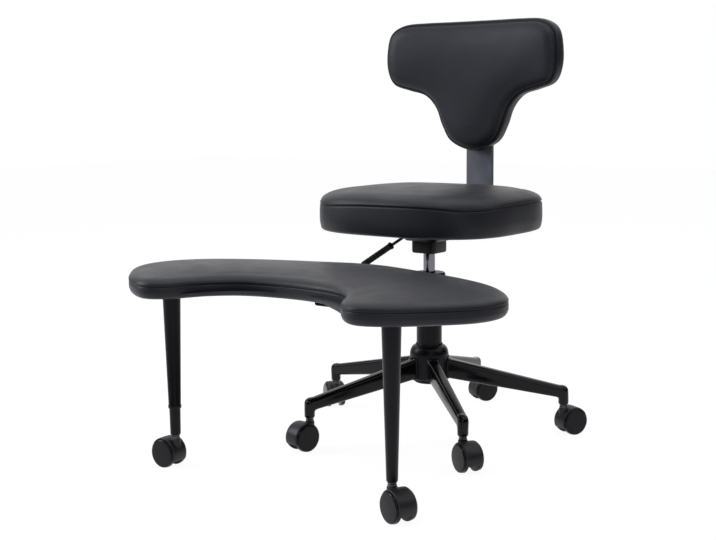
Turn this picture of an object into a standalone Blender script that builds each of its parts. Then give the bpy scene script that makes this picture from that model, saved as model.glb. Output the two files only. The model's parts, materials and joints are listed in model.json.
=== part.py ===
"""Cross-legged office chair: a padded seat and T-shaped back on a gas lift, with a leg rest that turns round
the column on two castered legs.

Metres, +Z up. The chair faces -Y and the sitter's left is +X. The origin is on the floor, on the axis of the
column, which is also the axis of the seat's and the leg rest's swivels.
"""
import math

import bmesh
import bpy
from mathutils import Matrix, Vector

# Clearances
FIT = 0.0003
RUNNING_FIT = 0.0006
SMOOTH_ANGLE = math.radians(35)

# How many sides round pieces have
ROUND_SIDES = 24
SOCKET_SIDES = 12
GRIP_SIDES = 12
BOSS_SIDES = 10
PIN_SIDES = 8

# Casters
WHEEL_RADIUS = 0.0262
WHEEL_SIDES = 18
WHEEL_OUTER_FACE = 0.0195
WHEEL_DISC_RADIUS = 0.0215
WHEEL_DOME = 0.0012
WHEEL_RIM_STEP = 0.0025
CASTER_TRAIL = 0.018
CASTER_WEB = 0.0125
HOOD_WALL = 0.0016
HOOD_CLEARANCE = 0.0009
HOOD_FRONT_END = math.radians(212)
HOOD_REAR_END = math.radians(-32)
HOOD_STEPS = 12
NECK_RISE = 0.007
AXLE_RADIUS = 0.003
AXLE_IN_WHEEL = 0.0085
STEM_PIN_RADIUS = 0.0055
STEM_PIN_LENGTH = 0.022
STEM_RING_RADIUS = 0.0078
STEM_RINGS = 0.0085
STEM_TAIL_RADIUS = 0.004
STEM_TAIL_LENGTH = 0.009
BOSS_RADIUS = 0.0088
SOCKET_SPARE = 0.002
# One flat of the faceted tread lies on the floor
AXLE_HEIGHT = WHEEL_RADIUS * math.cos(math.pi / WHEEL_SIDES)
CASTER_HEIGHT = AXLE_HEIGHT + WHEEL_RADIUS + HOOD_CLEARANCE + HOOD_WALL + NECK_RISE
# Which way each caster trails, in degrees from +X
BASE_CASTER_TRAILS = (-30, 63, 65, 141, -103)
LEFT_CASTER_TRAIL = -22
RIGHT_CASTER_TRAIL = 180

# Leg rest board and pad, outline of the left half from the middle of the back edge to the notch
REST_BOTTOM = 0.319
REST_BOARD = 0.012
REST_PAD_EDGE = 0.0345
REST_PAD_CROWN = 0.0075
REST_PAD_ROLL = 0.018
REST_HALF_OUTLINE = (
    (0.000, -0.171), (0.120, -0.199), (0.230, -0.234), (0.325, -0.285), (0.379, -0.358), (0.374, -0.427),
    (0.328, -0.486), (0.276, -0.531), (0.223, -0.553), (0.183, -0.527), (0.150, -0.470), (0.096, -0.431),
    (0.000, -0.417),
)
REST_SPINE = ((-0.27, -0.418), (-0.14, -0.333), (0.0, -0.298), (0.14, -0.333), (0.27, -0.418))
REST_SEAM = 0.0165
OUTLINE_STEPS = 3

# Legs of the leg rest
LEG_X = 0.238
LEG_Y = -0.47
LEG_TOP_RADIUS = 0.0160
LEG_FOOT_RADIUS = 0.0094
LEG_STEP_HEIGHT = 0.1095
LEG_STEP = 0.0012
LEG_SPIGOT_RADIUS = 0.0068
LEG_SPIGOT_LENGTH = 0.035

# Gas lift
COLUMN_RADIUS = 0.025
COLUMN_FLOOR = 0.006
ROD_RADIUS = 0.0115
ROD_BOTTOM = 0.1275
ROD_TO_LEVER = 0.006
BUTTON_RADIUS = 0.004
BUTTON_LENGTH = 0.02
BUTTON_STROKE_SPACE = 0.008

# Swivel of the leg rest, which ends just above the underside of the board
COLLAR_WALL = 0.0064
COLLAR_RISE = 0.0005
COLLAR_HEIGHT = 0.062
COLLAR_LIP = 0.0054
COLLAR_LIP_GAP = 0.002
COLLAR_EDGE = 0.003
COLLAR_BORE = COLUMN_RADIUS + RUNNING_FIT
COLLAR_RADIUS = COLLAR_BORE + COLLAR_WALL
COLLAR_TOP = REST_BOTTOM + COLLAR_RISE
COLLAR_BOTTOM = COLLAR_TOP - COLLAR_HEIGHT
COLUMN_TOP = COLLAR_TOP - COLLAR_LIP - RUNNING_FIT
STOP_RING_WIDTH = 0.003
STOP_RING_HEIGHT = 0.007
CARRIER_WIDTH = 0.05
CARRIER_HEIGHT = 0.022
CARRIER_WALL = 0.0025
CARRIER_CORNER = 0.004
CARRIER_FRONT = 0.33

# Five-star base
ARM_COUNT = 5
FIRST_ARM_ANGLE = math.radians(-43.7)
ARM_REACH = 0.264
SOCKET_RADIUS = 0.01
ARM_ROOT_WIDTH = 0.024
ARM_ROOT_BOTTOM = 0.1085
ARM_FLARE_TOP = 0.1525
ARM_FLARE_REACH = 0.006
ARM_TIP_HEIGHT = 0.024
ARM_CORNER = 0.007
ARM_ROOT_TOP = 0.1475
ARM_TIP_TOP = 0.0985
ARM_ELBOW = 0.0275
ARM_INNER_BEND = 0.004
HUB_WALL = 0.0132
HUB_FOOT_WALL = 0.0047
HUB_BOTTOM = 0.0995
HUB_SHOULDER = 0.1545
HUB_TOP = 0.1745
HUB_EDGE = 0.004
HUB_BORE = COLUMN_RADIUS + FIT
HUB_RADIUS = HUB_BORE + HUB_WALL
HUB_FOOT_RADIUS = HUB_BORE + HUB_FOOT_WALL

# Cushions: the turned-in rim under the board's edge, the drawn-in sides and the sewn seam
BOARD_INSET = 0.012
CUSHION_RIM = 0.0065
CUSHION_FOOT = 0.006
CUSHION_DRAW = 0.0016
CUSHION_SHOULDER = 0.0025
SEAM_WIDTH = 0.0056
SEAM_DEPTH = 0.0018

# Seat
SEAT_OVER_REST = 0.0855
SEAT_BOTTOM = REST_BOTTOM + SEAT_OVER_REST
SEAT_BOARD = 0.012
SEAT_SIDE = 0.057
SEAT_TOP_RISE = 0.021
SEAT_ROLL = 0.026
SEAT_CROWN = 0.0075
SEAT_HALF_WIDTH = 0.203
SEAT_HALF_DEPTH = 0.18
SEAT_SQUARENESS = 3.0
SEAT_CENTRE_Y = 0.005
SEAT_POINTS = 56
SEAT_SPINE = ((-0.03, SEAT_CENTRE_Y), (0.03, SEAT_CENTRE_Y))

# Seat mechanism
PLATE_WIDTH = 0.17
PLATE_DEPTH = 0.2
PLATE_THICKNESS = 0.003
PLATE_CORNER = 0.02
PAN_TOP_WIDTH = 0.11
PAN_TOP_DEPTH = 0.1
PAN_WIDTH = 0.074
PAN_DEPTH = 0.068
PAN_HEIGHT = 0.0185
BOX_WIDTH = 0.054
BOX_DEPTH = 0.053
BOX_CORNER = 0.009
BOX_HEIGHT = 0.0247
BOX_EDGE = 0.004
PLATE_TOP = SEAT_BOTTOM - FIT
PLATE_BOTTOM = PLATE_TOP - PLATE_THICKNESS
PAN_BOTTOM = PLATE_BOTTOM - PAN_HEIGHT
BOX_BOTTOM = PAN_BOTTOM - BOX_HEIGHT

# Height lever
LEVER_TURN = math.radians(12)
LEVER_DROP = math.radians(34)
LEVER_BELOW_PLATE = 0.0062
LEVER_PIVOT = 0.036
LEVER_BEND = 0.041
LEVER_RADIUS = 0.003
LEVER_GRIP_START = 0.08
LEVER_GRIP_LENGTH = 0.079
LEVER_GRIP_RADIUS = 0.0055
LEVER_ROD_IN_GRIP = 0.05
PIN_RADIUS = 0.002
PIN_LENGTH = 0.02
LEVER_SLOT = 0.012
LEVER_SLOT_DEPTH = 0.0145
LEVER_HEIGHT = PLATE_BOTTOM - LEVER_BELOW_PLATE
BUTTON_TOP = LEVER_HEIGHT - LEVER_RADIUS - FIT
ROD_TOP = LEVER_HEIGHT - LEVER_RADIUS - ROD_TO_LEVER

# Back, outline of the left half as (x, drop below the top) from the middle of the top to that of the bottom
BACK_TOP = 0.8115
BAR_WIDTH = 0.062
BAR_THICKNESS = 0.008
BAR_CORNER = 0.002
BAR_TO_SEAT = 0.0025
BAR_BEND_RADIUS = 0.016
BAR_BELOW_TOP = 0.109
BAR_TOP = BACK_TOP - BAR_BELOW_TOP
BAR_UNDER_PLATE = 0.04
BAR_FRONT_FACE = SEAT_CENTRE_Y + SEAT_HALF_DEPTH + BAR_TO_SEAT
BACK_HALF_OUTLINE = (
    (0.000, 0.000), (0.056, 0.000), (0.112, 0.000), (0.160, 0.003), (0.191, 0.0205), (0.201, 0.0565),
    (0.200, 0.0955), (0.185, 0.1255), (0.150, 0.138), (0.112, 0.149), (0.087, 0.175), (0.0735, 0.209),
    (0.051, 0.2435), (0.000, 0.261),
)
BACK_HALF_WIDTH = max(x for x, drop in BACK_HALF_OUTLINE)
BACK_SPINE = ((-0.13, 0.069), (0.0, 0.074), (0.0, 0.189), (0.0, 0.074), (0.13, 0.069))
BACK_BOARD = 0.01
BACK_PAD = 0.032
BACK_CROWN = 0.006
BACK_CURVE = 0.016
BACK_ROLL = 0.0095
BACK_SLICE = 0.024


def clear_scene():
    """Start from an empty scene."""
    for existing in list(bpy.data.objects):
        bpy.data.objects.remove(existing)


def make_material(name, colour, roughness, metallic=0.0):
    """A Principled surface with the piece's own colour."""
    material = bpy.data.materials.new(name)
    material.use_nodes = True
    shader = material.node_tree.nodes["Principled BSDF"]
    shader.inputs["Base Color"].default_value = (*colour, 1.0)
    shader.inputs["Roughness"].default_value = roughness
    shader.inputs["Metallic"].default_value = metallic
    material.diffuse_color = (*colour, 1.0)
    return material


def finish_mesh(mesh):
    """Smooth shading with sharp edges kept."""
    mesh.shade_smooth()
    mesh.set_sharp_from_angle(angle=SMOOTH_ANGLE)


def make_object(name, bm, material, location=(0.0, 0.0, 0.0), yaw=0.0):
    """Turn a bmesh into a placed object whose faces point out."""
    bmesh.ops.remove_doubles(bm, verts=bm.verts, dist=1e-6)
    bmesh.ops.dissolve_degenerate(bm, edges=bm.edges, dist=1e-6)
    bmesh.ops.recalc_face_normals(bm, faces=bm.faces)
    mesh = bpy.data.meshes.new(name)
    bm.to_mesh(mesh)
    bm.free()
    mesh.materials.append(material)
    finish_mesh(mesh)
    return place_mesh(name, mesh, location, yaw)


def place_mesh(name, mesh, location, yaw=0.0):
    """An object of its own for a mesh, which copies of a piece share."""
    placed = bpy.data.objects.new(name, mesh)
    placed.location = location
    placed.rotation_euler = (0.0, 0.0, yaw)
    bpy.context.scene.collection.objects.link(placed)
    return placed


def combine(target, tool, operation):
    """Apply an exact Boolean to the target and drop the tool object."""
    modifier = target.modifiers.new("combine", "BOOLEAN")
    modifier.operation = operation
    modifier.solver = "EXACT"
    modifier.object = tool
    bpy.context.view_layer.update()
    evaluated = target.evaluated_get(bpy.context.evaluated_depsgraph_get())
    mesh = bpy.data.meshes.new_from_object(evaluated)
    target.modifiers.remove(modifier)
    tidy = bmesh.new()
    tidy.from_mesh(mesh)
    bmesh.ops.remove_doubles(tidy, verts=tidy.verts, dist=1e-6)
    bmesh.ops.dissolve_degenerate(tidy, edges=tidy.edges, dist=1e-6)
    tidy.to_mesh(mesh)
    tidy.free()
    finish_mesh(mesh)
    target.data = mesh
    bpy.data.objects.remove(tool)
    return target


def turned(profile, sides, turn=None, closed=True):
    """Spin a profile of (radius, height) points round Z; turn then moves the solid."""
    bm = bmesh.new()
    points = [bm.verts.new((radius, 0.0, height)) for radius, height in profile]
    pairs = list(zip(points, points[1:]))
    if closed:
        pairs.append((points[-1], points[0]))
    edges = [bm.edges.new(pair) for pair in pairs]
    bmesh.ops.rotate(bm, verts=points, cent=(0, 0, 0), matrix=Matrix.Rotation(math.pi / sides, 3, "Z"))
    bmesh.ops.spin(bm, geom=points + edges, axis=(0, 0, 1), cent=(0, 0, 0), angle=math.tau, steps=sides,
                   use_merge=True, use_duplicate=False)
    bmesh.ops.remove_doubles(bm, verts=bm.verts, dist=1e-6)
    bmesh.ops.dissolve_degenerate(bm, edges=bm.edges, dist=1e-6)
    if turn is not None:
        bmesh.ops.transform(bm, matrix=turn, verts=bm.verts)
    return bm


def cylinder(radius, low, high, sides, turn=None):
    """A plain round solid from one height to another."""
    return turned([(0.0, low), (radius, low), (radius, high), (0.0, high)], sides, turn, closed=False)


def loft(rings):
    """Skin rings of equal count with quads and close both ends."""
    bm = bmesh.new()
    loops = [[bm.verts.new(point) for point in ring] for ring in rings]
    count = len(loops[0])
    for lower, upper in zip(loops, loops[1:]):
        for here in range(count):
            there = (here + 1) % count
            bm.faces.new((lower[here], lower[there], upper[there], upper[here]))
    bm.faces.new(loops[0])
    bm.faces.new(loops[-1])
    return bm


def arc(centre, radius, start, end, steps):
    """Points along an arc, both ends included."""
    angles = [start + (end - start) * step / steps for step in range(steps + 1)]
    return [(centre[0] + radius * math.cos(angle), centre[1] + radius * math.sin(angle)) for angle in angles]


def rounded_rectangle(width, height, corner, steps=3):
    """Outline of a rectangle with round corners, about its centre."""
    x, y = width / 2 - corner, height / 2 - corner
    outline = []
    for centre, start in (((x, y), 0), ((-x, y), 90), ((-x, -y), 180), ((x, -y), 270)):
        outline += arc(centre, corner, math.radians(start), math.radians(start + 90), steps)
    return outline


def prism(outline, low, high, turn=None):
    """An outline drawn up from one height to another."""
    bm = loft([[(x, y, z) for x, y in outline] for z in (low, high)])
    if turn is not None:
        bmesh.ops.transform(bm, matrix=turn, verts=bm.verts)
    return bm


def spline_through(points, steps):
    """A closed smooth curve through the points, with a few steps between neighbours."""
    count = len(points)
    curve = []
    for index in range(count):
        before, start, end, after = (Vector(points[(index + shift) % count]) for shift in (-1, 0, 1, 2))
        for step in range(steps):
            t = step / steps
            curve.append(0.5 * (2 * start + (end - before) * t
                                + (2 * before - 5 * start + 4 * end - after) * t ** 2
                                + (3 * start - before - 3 * end + after) * t ** 3))
    return curve


def nearest_on_path(point, path):
    """The point of a broken line that is nearest."""
    best = None
    for start, end in zip(path, path[1:]):
        start, end = Vector(start), Vector(end)
        along = end - start
        share = max(0.0, min(1.0, (point - start).dot(along) / max(along.length_squared, 1e-12)))
        foot = start + along * share
        if best is None or (foot - point).length < (best - point).length:
            best = foot
    return best


def inward_directions(outline, path, passes=6):
    """Unit directions from the outline towards its spine, evened out along the outline."""
    ways = [(nearest_on_path(point, path) - point).normalized() for point in outline]
    for _ in range(passes):
        ways = [(ways[i - 1] + 2 * ways[i] + ways[(i + 1) % len(ways)]).normalized() for i in range(len(ways))]
    return ways


def padded_rings(outline, path, profile):
    """Rings of (x, y, level) for a cushion from its (level, inset) profile."""
    outline = [Vector(point) for point in outline]
    ways = inward_directions(outline, path)
    return [[(*(point + way * inset), level) for point, way in zip(outline, ways)] for level, inset in profile]


def cushion_profile(bottom, pocket, seam, edge_top, crown, roll):
    """Levels and insets of a cushion: board pocket, drawn-in sides, sewn seam and crowned top."""
    rise = edge_top - seam
    return [
        (pocket, BOARD_INSET - FIT),
        (bottom, BOARD_INSET - FIT),
        (bottom, CUSHION_RIM),
        (bottom + CUSHION_FOOT * 0.33, CUSHION_FOOT * 0.33),
        (bottom + CUSHION_FOOT, 0.0),
        ((bottom + seam) / 2, CUSHION_DRAW),
        (seam - SEAM_WIDTH / 2, 0.0),
        (seam, SEAM_DEPTH),
        (seam + SEAM_WIDTH / 2, 0.0),
        (seam + rise * 0.45, CUSHION_SHOULDER),
        (seam + rise * 0.78, roll * 0.42),
        (edge_top, roll),
        (edge_top + crown * 0.6, roll * 2.3),
        (edge_top + crown, roll * 4.3),
    ]


# Casters


def caster_wheel(material):
    """One wheel about its axle along Z: tread, stepped rim and domed closed disc, with a blind bore."""
    inner = CASTER_WEB / 2 + FIT
    rim = WHEEL_OUTER_FACE - WHEEL_DOME
    bore = AXLE_RADIUS + RUNNING_FIT
    profile = [
        (0.0, inner + AXLE_IN_WHEEL + FIT),
        (bore, inner + AXLE_IN_WHEEL + FIT),
        (bore, inner),
        (WHEEL_RADIUS, inner),
        (WHEEL_RADIUS, rim - WHEEL_RIM_STEP),
        (WHEEL_DISC_RADIUS, rim),
        (0.0, WHEEL_OUTER_FACE),
    ]
    return make_object("wheel", turned(profile, WHEEL_SIDES, closed=False), material)


def caster_hood(material):
    """Hood over both wheels with the web between them and the boss for the stem."""
    upright = Matrix.Translation((CASTER_TRAIL, 0, AXLE_HEIGHT)) @ Matrix.Rotation(math.pi / 2, 4, "X")
    inner = WHEEL_RADIUS + HOOD_CLEARANCE
    outer = inner + HOOD_WALL
    shell = arc((0, 0), outer, HOOD_REAR_END, HOOD_FRONT_END, HOOD_STEPS)
    shell += arc((0, 0), inner, HOOD_FRONT_END, HOOD_REAR_END, HOOD_STEPS)
    half_width = WHEEL_OUTER_FACE - WHEEL_DOME
    hood = make_object("hood", prism(shell, -half_width, half_width, upright), material)
    web = arc((0, 0), inner + HOOD_WALL / 2, HOOD_REAR_END, HOOD_FRONT_END, HOOD_STEPS)
    web_solid = make_object("web", prism(web, -CASTER_WEB / 2, CASTER_WEB / 2, upright), material)
    combine(hood, web_solid, "UNION")
    boss_top = CASTER_HEIGHT - STEM_RINGS
    boss = make_object("boss", cylinder(BOSS_RADIUS, AXLE_HEIGHT, boss_top, BOSS_SIDES), material)
    wheel_room = arc((0, 0), inner + HOOD_WALL / 2, HOOD_REAR_END, HOOD_REAR_END + math.tau, 2 * HOOD_STEPS)
    room = prism(wheel_room[:-1], -WHEEL_OUTER_FACE, WHEEL_OUTER_FACE, upright)
    combine(boss, make_object("room", room, material), "DIFFERENCE")
    combine(hood, boss, "UNION")
    tail_end = boss_top - STEM_TAIL_LENGTH - FIT
    tail_bore = cylinder(STEM_TAIL_RADIUS + FIT, tail_end, boss_top + BOSS_RADIUS, BOSS_SIDES)
    combine(hood, make_object("bore", tail_bore, material), "DIFFERENCE")
    axle_bore = cylinder(AXLE_RADIUS + FIT, -CASTER_WEB, CASTER_WEB, PIN_SIDES, upright)
    combine(hood, make_object("bore", axle_bore, material), "DIFFERENCE")
    return hood


def caster_stem(material):
    """Pin in the socket, two rings in the neck and a tail in the hood's boss."""
    ring = (STEM_RINGS - 2 * FIT) / 3
    top = CASTER_HEIGHT - FIT
    boss_top = CASTER_HEIGHT - STEM_RINGS
    profile = [
        (0.0, boss_top - STEM_TAIL_LENGTH),
        (STEM_TAIL_RADIUS, boss_top - STEM_TAIL_LENGTH),
        (STEM_TAIL_RADIUS, boss_top + FIT),
        (STEM_RING_RADIUS, boss_top + FIT),
        (STEM_RING_RADIUS, top - 2 * ring),
        (STEM_PIN_RADIUS, top - 1.5 * ring),
        (STEM_RING_RADIUS, top - ring),
        (STEM_RING_RADIUS, top),
        (STEM_PIN_RADIUS, top),
        (STEM_PIN_RADIUS, top + STEM_PIN_LENGTH),
        (0.0, top + STEM_PIN_LENGTH),
    ]
    return make_object("stem", turned(profile, PIN_SIDES, closed=False), material)


def caster_axle(material):
    """Pin through the web into both wheels, along Z."""
    half = CASTER_WEB / 2 + FIT + AXLE_IN_WHEEL
    return make_object("axle", cylinder(AXLE_RADIUS, -half, half, PIN_SIDES), material)


def caster_places():
    """Name, floor point and trail direction of each caster, as they stand in the photograph."""
    places = []
    for index, trail in enumerate(BASE_CASTER_TRAILS):
        angle = FIRST_ARM_ANGLE + index * math.tau / ARM_COUNT
        spot = (ARM_REACH * math.cos(angle), ARM_REACH * math.sin(angle))
        places.append((f"base_{index + 1}", spot, math.radians(trail)))
    places.append(("rest_left", (LEG_X, LEG_Y), math.radians(LEFT_CASTER_TRAIL)))
    places.append(("rest_right", (-LEG_X, LEG_Y), math.radians(RIGHT_CASTER_TRAIL)))
    return places


def make_casters(nylon, tyre, steel):
    """Seven casters from one set of shared meshes."""
    hood, stem, axle, wheel = caster_hood(nylon), caster_stem(steel), caster_axle(steel), caster_wheel(tyre)
    for name, spot, trail in caster_places():
        along = Vector((math.cos(trail), math.sin(trail), 0.0))
        centre = Vector((*spot, AXLE_HEIGHT)) + along * CASTER_TRAIL
        place_mesh(f"caster_{name}_hood", hood.data, (*spot, 0.0), trail)
        place_mesh(f"caster_{name}_stem", stem.data, (*spot, 0.0), trail)
        for piece, pattern, tilt in (("axle", axle, -1), ("wheel_a", wheel, -1), ("wheel_b", wheel, 1)):
            placed = place_mesh(f"caster_{name}_{piece}", pattern.data, centre)
            placed.rotation_euler = (tilt * math.pi / 2, 0.0, trail)
    for pattern in (hood, stem, axle, wheel):
        bpy.data.objects.remove(pattern)


def socket_cutter(spot, material):
    """Bore for a caster's stem, open at the bottom."""
    place = Matrix.Translation((*spot, 0.0))
    radius = STEM_PIN_RADIUS + RUNNING_FIT
    high = CASTER_HEIGHT + STEM_PIN_LENGTH + SOCKET_SPARE
    low = CASTER_HEIGHT - SOCKET_RADIUS
    return make_object("socket", cylinder(radius, low, high, SOCKET_SIDES, place), material)


# Base and gas lift


def arm_sections():
    """Stations of one arm along +X: inner corner, direction of its height, height, width and corner."""
    inner_x = ARM_REACH - SOCKET_RADIUS
    tip_bottom = ARM_TIP_TOP - ARM_TIP_HEIGHT
    tip_width = 2 * SOCKET_RADIUS

    def along(x, root, tip):
        return root + (tip - root) * (x - HUB_RADIUS) / (inner_x - HUB_RADIUS)

    stations = []
    flare_end = HUB_RADIUS + ARM_FLARE_REACH
    for x, share in ((HUB_FOOT_RADIUS, 1.0), (HUB_RADIUS, 1.0), (HUB_RADIUS + ARM_FLARE_REACH * 0.35, 0.35),
                     (flare_end, 0.0), (inner_x - ARM_INNER_BEND, 0.0)):
        bottom = along(x, ARM_ROOT_BOTTOM, tip_bottom)
        top = along(x, ARM_ROOT_TOP, ARM_TIP_TOP) + (ARM_FLARE_TOP - ARM_ROOT_TOP) * share
        width = along(x, ARM_ROOT_WIDTH, tip_width)
        stations.append(((x, bottom), 0.0, top - bottom, width, ARM_CORNER))
    for degrees in (25, 45, 65, 90):
        turn = math.radians(degrees)
        reach = min(ARM_TIP_HEIGHT / max(math.cos(turn), 0.1), tip_width / math.sin(turn), ARM_ELBOW)
        corner = ARM_CORNER + (SOCKET_RADIUS - ARM_CORNER) * degrees / 90
        start_x = inner_x - ARM_INNER_BEND * (1 - math.sin(turn))
        start_z = tip_bottom - ARM_INNER_BEND * (1 - math.cos(turn))
        stations.append(((start_x, start_z), turn, reach, tip_width, corner))
    chamfer = SOCKET_RADIUS * 0.15
    stations.append(((inner_x, CASTER_HEIGHT + chamfer), math.pi / 2, tip_width, tip_width, SOCKET_RADIUS))
    narrow = tip_width - 2 * chamfer
    stations.append(((inner_x + chamfer, CASTER_HEIGHT), math.pi / 2, narrow, narrow, narrow / 2))
    return stations


def base_arm(index, material):
    """A tapered arm of rounded section, flared into the hub and bent down into its caster socket."""
    rings = []
    for (x, z), turn, height, width, corner in arm_sections():
        rise_way = Vector((math.sin(turn), 0.0, math.cos(turn)))
        centre = Vector((x, 0.0, z)) + rise_way * height / 2
        rings.append([centre + Vector((0.0, across, 0.0)) + rise_way * rise
                      for across, rise in rounded_rectangle(width, height, corner)])
    arm = make_object(f"base_arm_{index + 1}", loft(rings), material)
    hub_room = cylinder((HUB_RADIUS + FIT) / math.cos(math.pi / ROUND_SIDES), 0.0, 2 * HUB_TOP, ROUND_SIDES)
    combine(arm, make_object("hub_room", hub_room, material), "DIFFERENCE")
    combine(arm, socket_cutter((ARM_REACH, 0.0), material), "DIFFERENCE")
    arm.rotation_euler = (0.0, 0.0, FIRST_ARM_ANGLE + index * math.tau / ARM_COUNT)


def base_hub(material):
    """Hub tube with a rounded foot and a domed shoulder round the column."""
    dome_width = HUB_WALL - FIT
    dome_height = HUB_TOP - HUB_SHOULDER
    waist = HUB_BOTTOM + 3 * HUB_EDGE
    dome = [(HUB_RADIUS - dome_width * (1 - math.cos(angle)), HUB_SHOULDER + dome_height * math.sin(angle))
            for angle in (math.radians(turn) for turn in (0, 30, 55, 78))]
    profile = [
        (HUB_BORE, HUB_BOTTOM),
        (HUB_FOOT_RADIUS - HUB_EDGE, HUB_BOTTOM),
        (HUB_FOOT_RADIUS, HUB_BOTTOM + HUB_EDGE),
        (HUB_FOOT_RADIUS, waist - HUB_EDGE),
        (HUB_RADIUS, waist),
        *dome,
        (HUB_BORE, HUB_TOP),
    ]
    make_object("base_hub", turned(profile, ROUND_SIDES), material)


def gas_column(material):
    """Outer tube of the gas lift, closed below, with the stop ring that carries the collar."""
    ring_top = COLLAR_BOTTOM - FIT
    ring_bottom = ring_top - STOP_RING_HEIGHT
    profile = [
        (0.0, HUB_BOTTOM),
        (COLUMN_RADIUS, HUB_BOTTOM),
        (COLUMN_RADIUS, ring_bottom),
        (COLUMN_RADIUS + STOP_RING_WIDTH, ring_bottom + STOP_RING_WIDTH),
        (COLUMN_RADIUS + STOP_RING_WIDTH, ring_top),
        (COLUMN_RADIUS, ring_top),
        (COLUMN_RADIUS, COLUMN_TOP),
        (ROD_RADIUS + RUNNING_FIT, COLUMN_TOP),
        (ROD_RADIUS + RUNNING_FIT, HUB_BOTTOM + COLUMN_FLOOR),
        (0.0, HUB_BOTTOM + COLUMN_FLOOR),
    ]
    make_object("gas_column", turned(profile, ROUND_SIDES, closed=False), material)


def gas_rod(material):
    """Piston rod with a bore in its top for the release button."""
    bore = BUTTON_RADIUS + FIT
    bore_floor = BUTTON_TOP - BUTTON_LENGTH - BUTTON_STROKE_SPACE
    profile = [
        (0.0, ROD_BOTTOM),
        (ROD_RADIUS, ROD_BOTTOM),
        (ROD_RADIUS, ROD_TOP),
        (bore, ROD_TOP),
        (bore, bore_floor),
        (0.0, bore_floor),
    ]
    make_object("gas_rod", turned(profile, ROUND_SIDES, closed=False), material)


def release_button(material):
    """Valve button in the top of the rod."""
    button = cylinder(BUTTON_RADIUS, BUTTON_TOP - BUTTON_LENGTH, BUTTON_TOP, ROUND_SIDES)
    make_object("release_button", button, material)


# Leg rest


def swivel_collar(material):
    """Bearing collar that turns on the column, with a lip over the column's top."""
    lip_bore = ROD_RADIUS + COLLAR_LIP_GAP
    profile = [
        (COLLAR_BORE, COLLAR_BOTTOM),
        (COLLAR_RADIUS, COLLAR_BOTTOM),
        (COLLAR_RADIUS, COLLAR_TOP - COLLAR_EDGE),
        (COLLAR_RADIUS - COLLAR_EDGE * 0.3, COLLAR_TOP - COLLAR_EDGE * 0.3),
        (COLLAR_RADIUS - COLLAR_EDGE, COLLAR_TOP),
        (lip_bore, COLLAR_TOP),
        (lip_bore, COLUMN_TOP + RUNNING_FIT),
        (COLLAR_BORE, COLUMN_TOP + RUNNING_FIT),
    ]
    make_object("swivel_collar", turned(profile, ROUND_SIDES), material)


def carrier_arm(material):
    """Open steel tube from the collar to the front of the board."""
    top = REST_BOTTOM - FIT
    along = Matrix(((1, 0, 0, 0), (0, 0, -1, 0), (0, 1, 0, top - CARRIER_HEIGHT / 2), (0, 0, 0, 1)))
    outer = rounded_rectangle(CARRIER_WIDTH, CARRIER_HEIGHT, CARRIER_CORNER)
    wall = 2 * CARRIER_WALL
    inner = rounded_rectangle(CARRIER_WIDTH - wall, CARRIER_HEIGHT - wall, CARRIER_CORNER - CARRIER_WALL)
    arm = make_object("carrier_arm", prism(outer, 0.0, CARRIER_FRONT, along), material)
    hollow = make_object("hollow", prism(inner, -CARRIER_WIDTH, 2 * CARRIER_FRONT, along), material)
    combine(arm, hollow, "DIFFERENCE")
    room = (COLLAR_RADIUS + FIT) / math.cos(math.pi / ROUND_SIDES)
    collar_room = cylinder(room, 0.0, 2 * COLLAR_TOP, ROUND_SIDES)
    combine(arm, make_object("collar_room", collar_room, material), "DIFFERENCE")


def rest_outline():
    """Boomerang outline of the leg rest, whole and smooth."""
    half = list(REST_HALF_OUTLINE)
    mirrored = [(-x, y) for x, y in reversed(half[1:-1])]
    return spline_through(half + mirrored, OUTLINE_STEPS)


def rest_board(material):
    """Plywood board in the underside of the pad."""
    levels = [(REST_BOTTOM, BOARD_INSET), (REST_BOTTOM + REST_BOARD, BOARD_INSET)]
    make_object("rest_board", loft(padded_rings(rest_outline(), REST_SPINE, levels)), material)


def rest_pad(material):
    """Padded boomerang with its seam round the edge."""
    pocket = REST_BOTTOM + REST_BOARD + FIT
    profile = cushion_profile(REST_BOTTOM - FIT, pocket, REST_BOTTOM + REST_SEAM, REST_BOTTOM + REST_PAD_EDGE,
                              REST_PAD_CROWN, REST_PAD_ROLL)
    make_object("rest_pad", loft(padded_rings(rest_outline(), REST_SPINE, profile)), material)


def leg_radius(height):
    """Radius of the taper at a height."""
    share = (height - CASTER_HEIGHT) / (REST_BOTTOM - CASTER_HEIGHT)
    return LEG_FOOT_RADIUS + (LEG_TOP_RADIUS - LEG_FOOT_RADIUS) * share


def rest_leg_left(material):
    """Tapered leg in one piece, with the caster's socket in its foot."""
    top = REST_BOTTOM - FIT
    profile = [(0.0, CASTER_HEIGHT), (LEG_FOOT_RADIUS, CASTER_HEIGHT), (leg_radius(top), top), (0.0, top)]
    place = Matrix.Translation((LEG_X, LEG_Y, 0.0))
    leg = make_object("rest_leg_left", turned(profile, ROUND_SIDES, place, closed=False), material)
    combine(leg, socket_cutter((LEG_X, LEG_Y), material), "DIFFERENCE")


def rest_leg_right(material):
    """Upper tube of the stepped leg, bored below for the foot's spigot."""
    top = REST_BOTTOM - FIT
    lip = leg_radius(LEG_STEP_HEIGHT) + LEG_STEP
    bore = LEG_SPIGOT_RADIUS + FIT
    profile = [
        (0.0, top),
        (leg_radius(top), top),
        (lip, LEG_STEP_HEIGHT + LEG_STEP),
        (lip - LEG_STEP, LEG_STEP_HEIGHT),
        (bore, LEG_STEP_HEIGHT),
        (bore, LEG_STEP_HEIGHT + LEG_SPIGOT_LENGTH + FIT),
        (0.0, LEG_STEP_HEIGHT + LEG_SPIGOT_LENGTH + FIT),
    ]
    place = Matrix.Translation((-LEG_X, LEG_Y, 0.0))
    make_object("rest_leg_right", turned(profile, ROUND_SIDES, place, closed=False), material)


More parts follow.
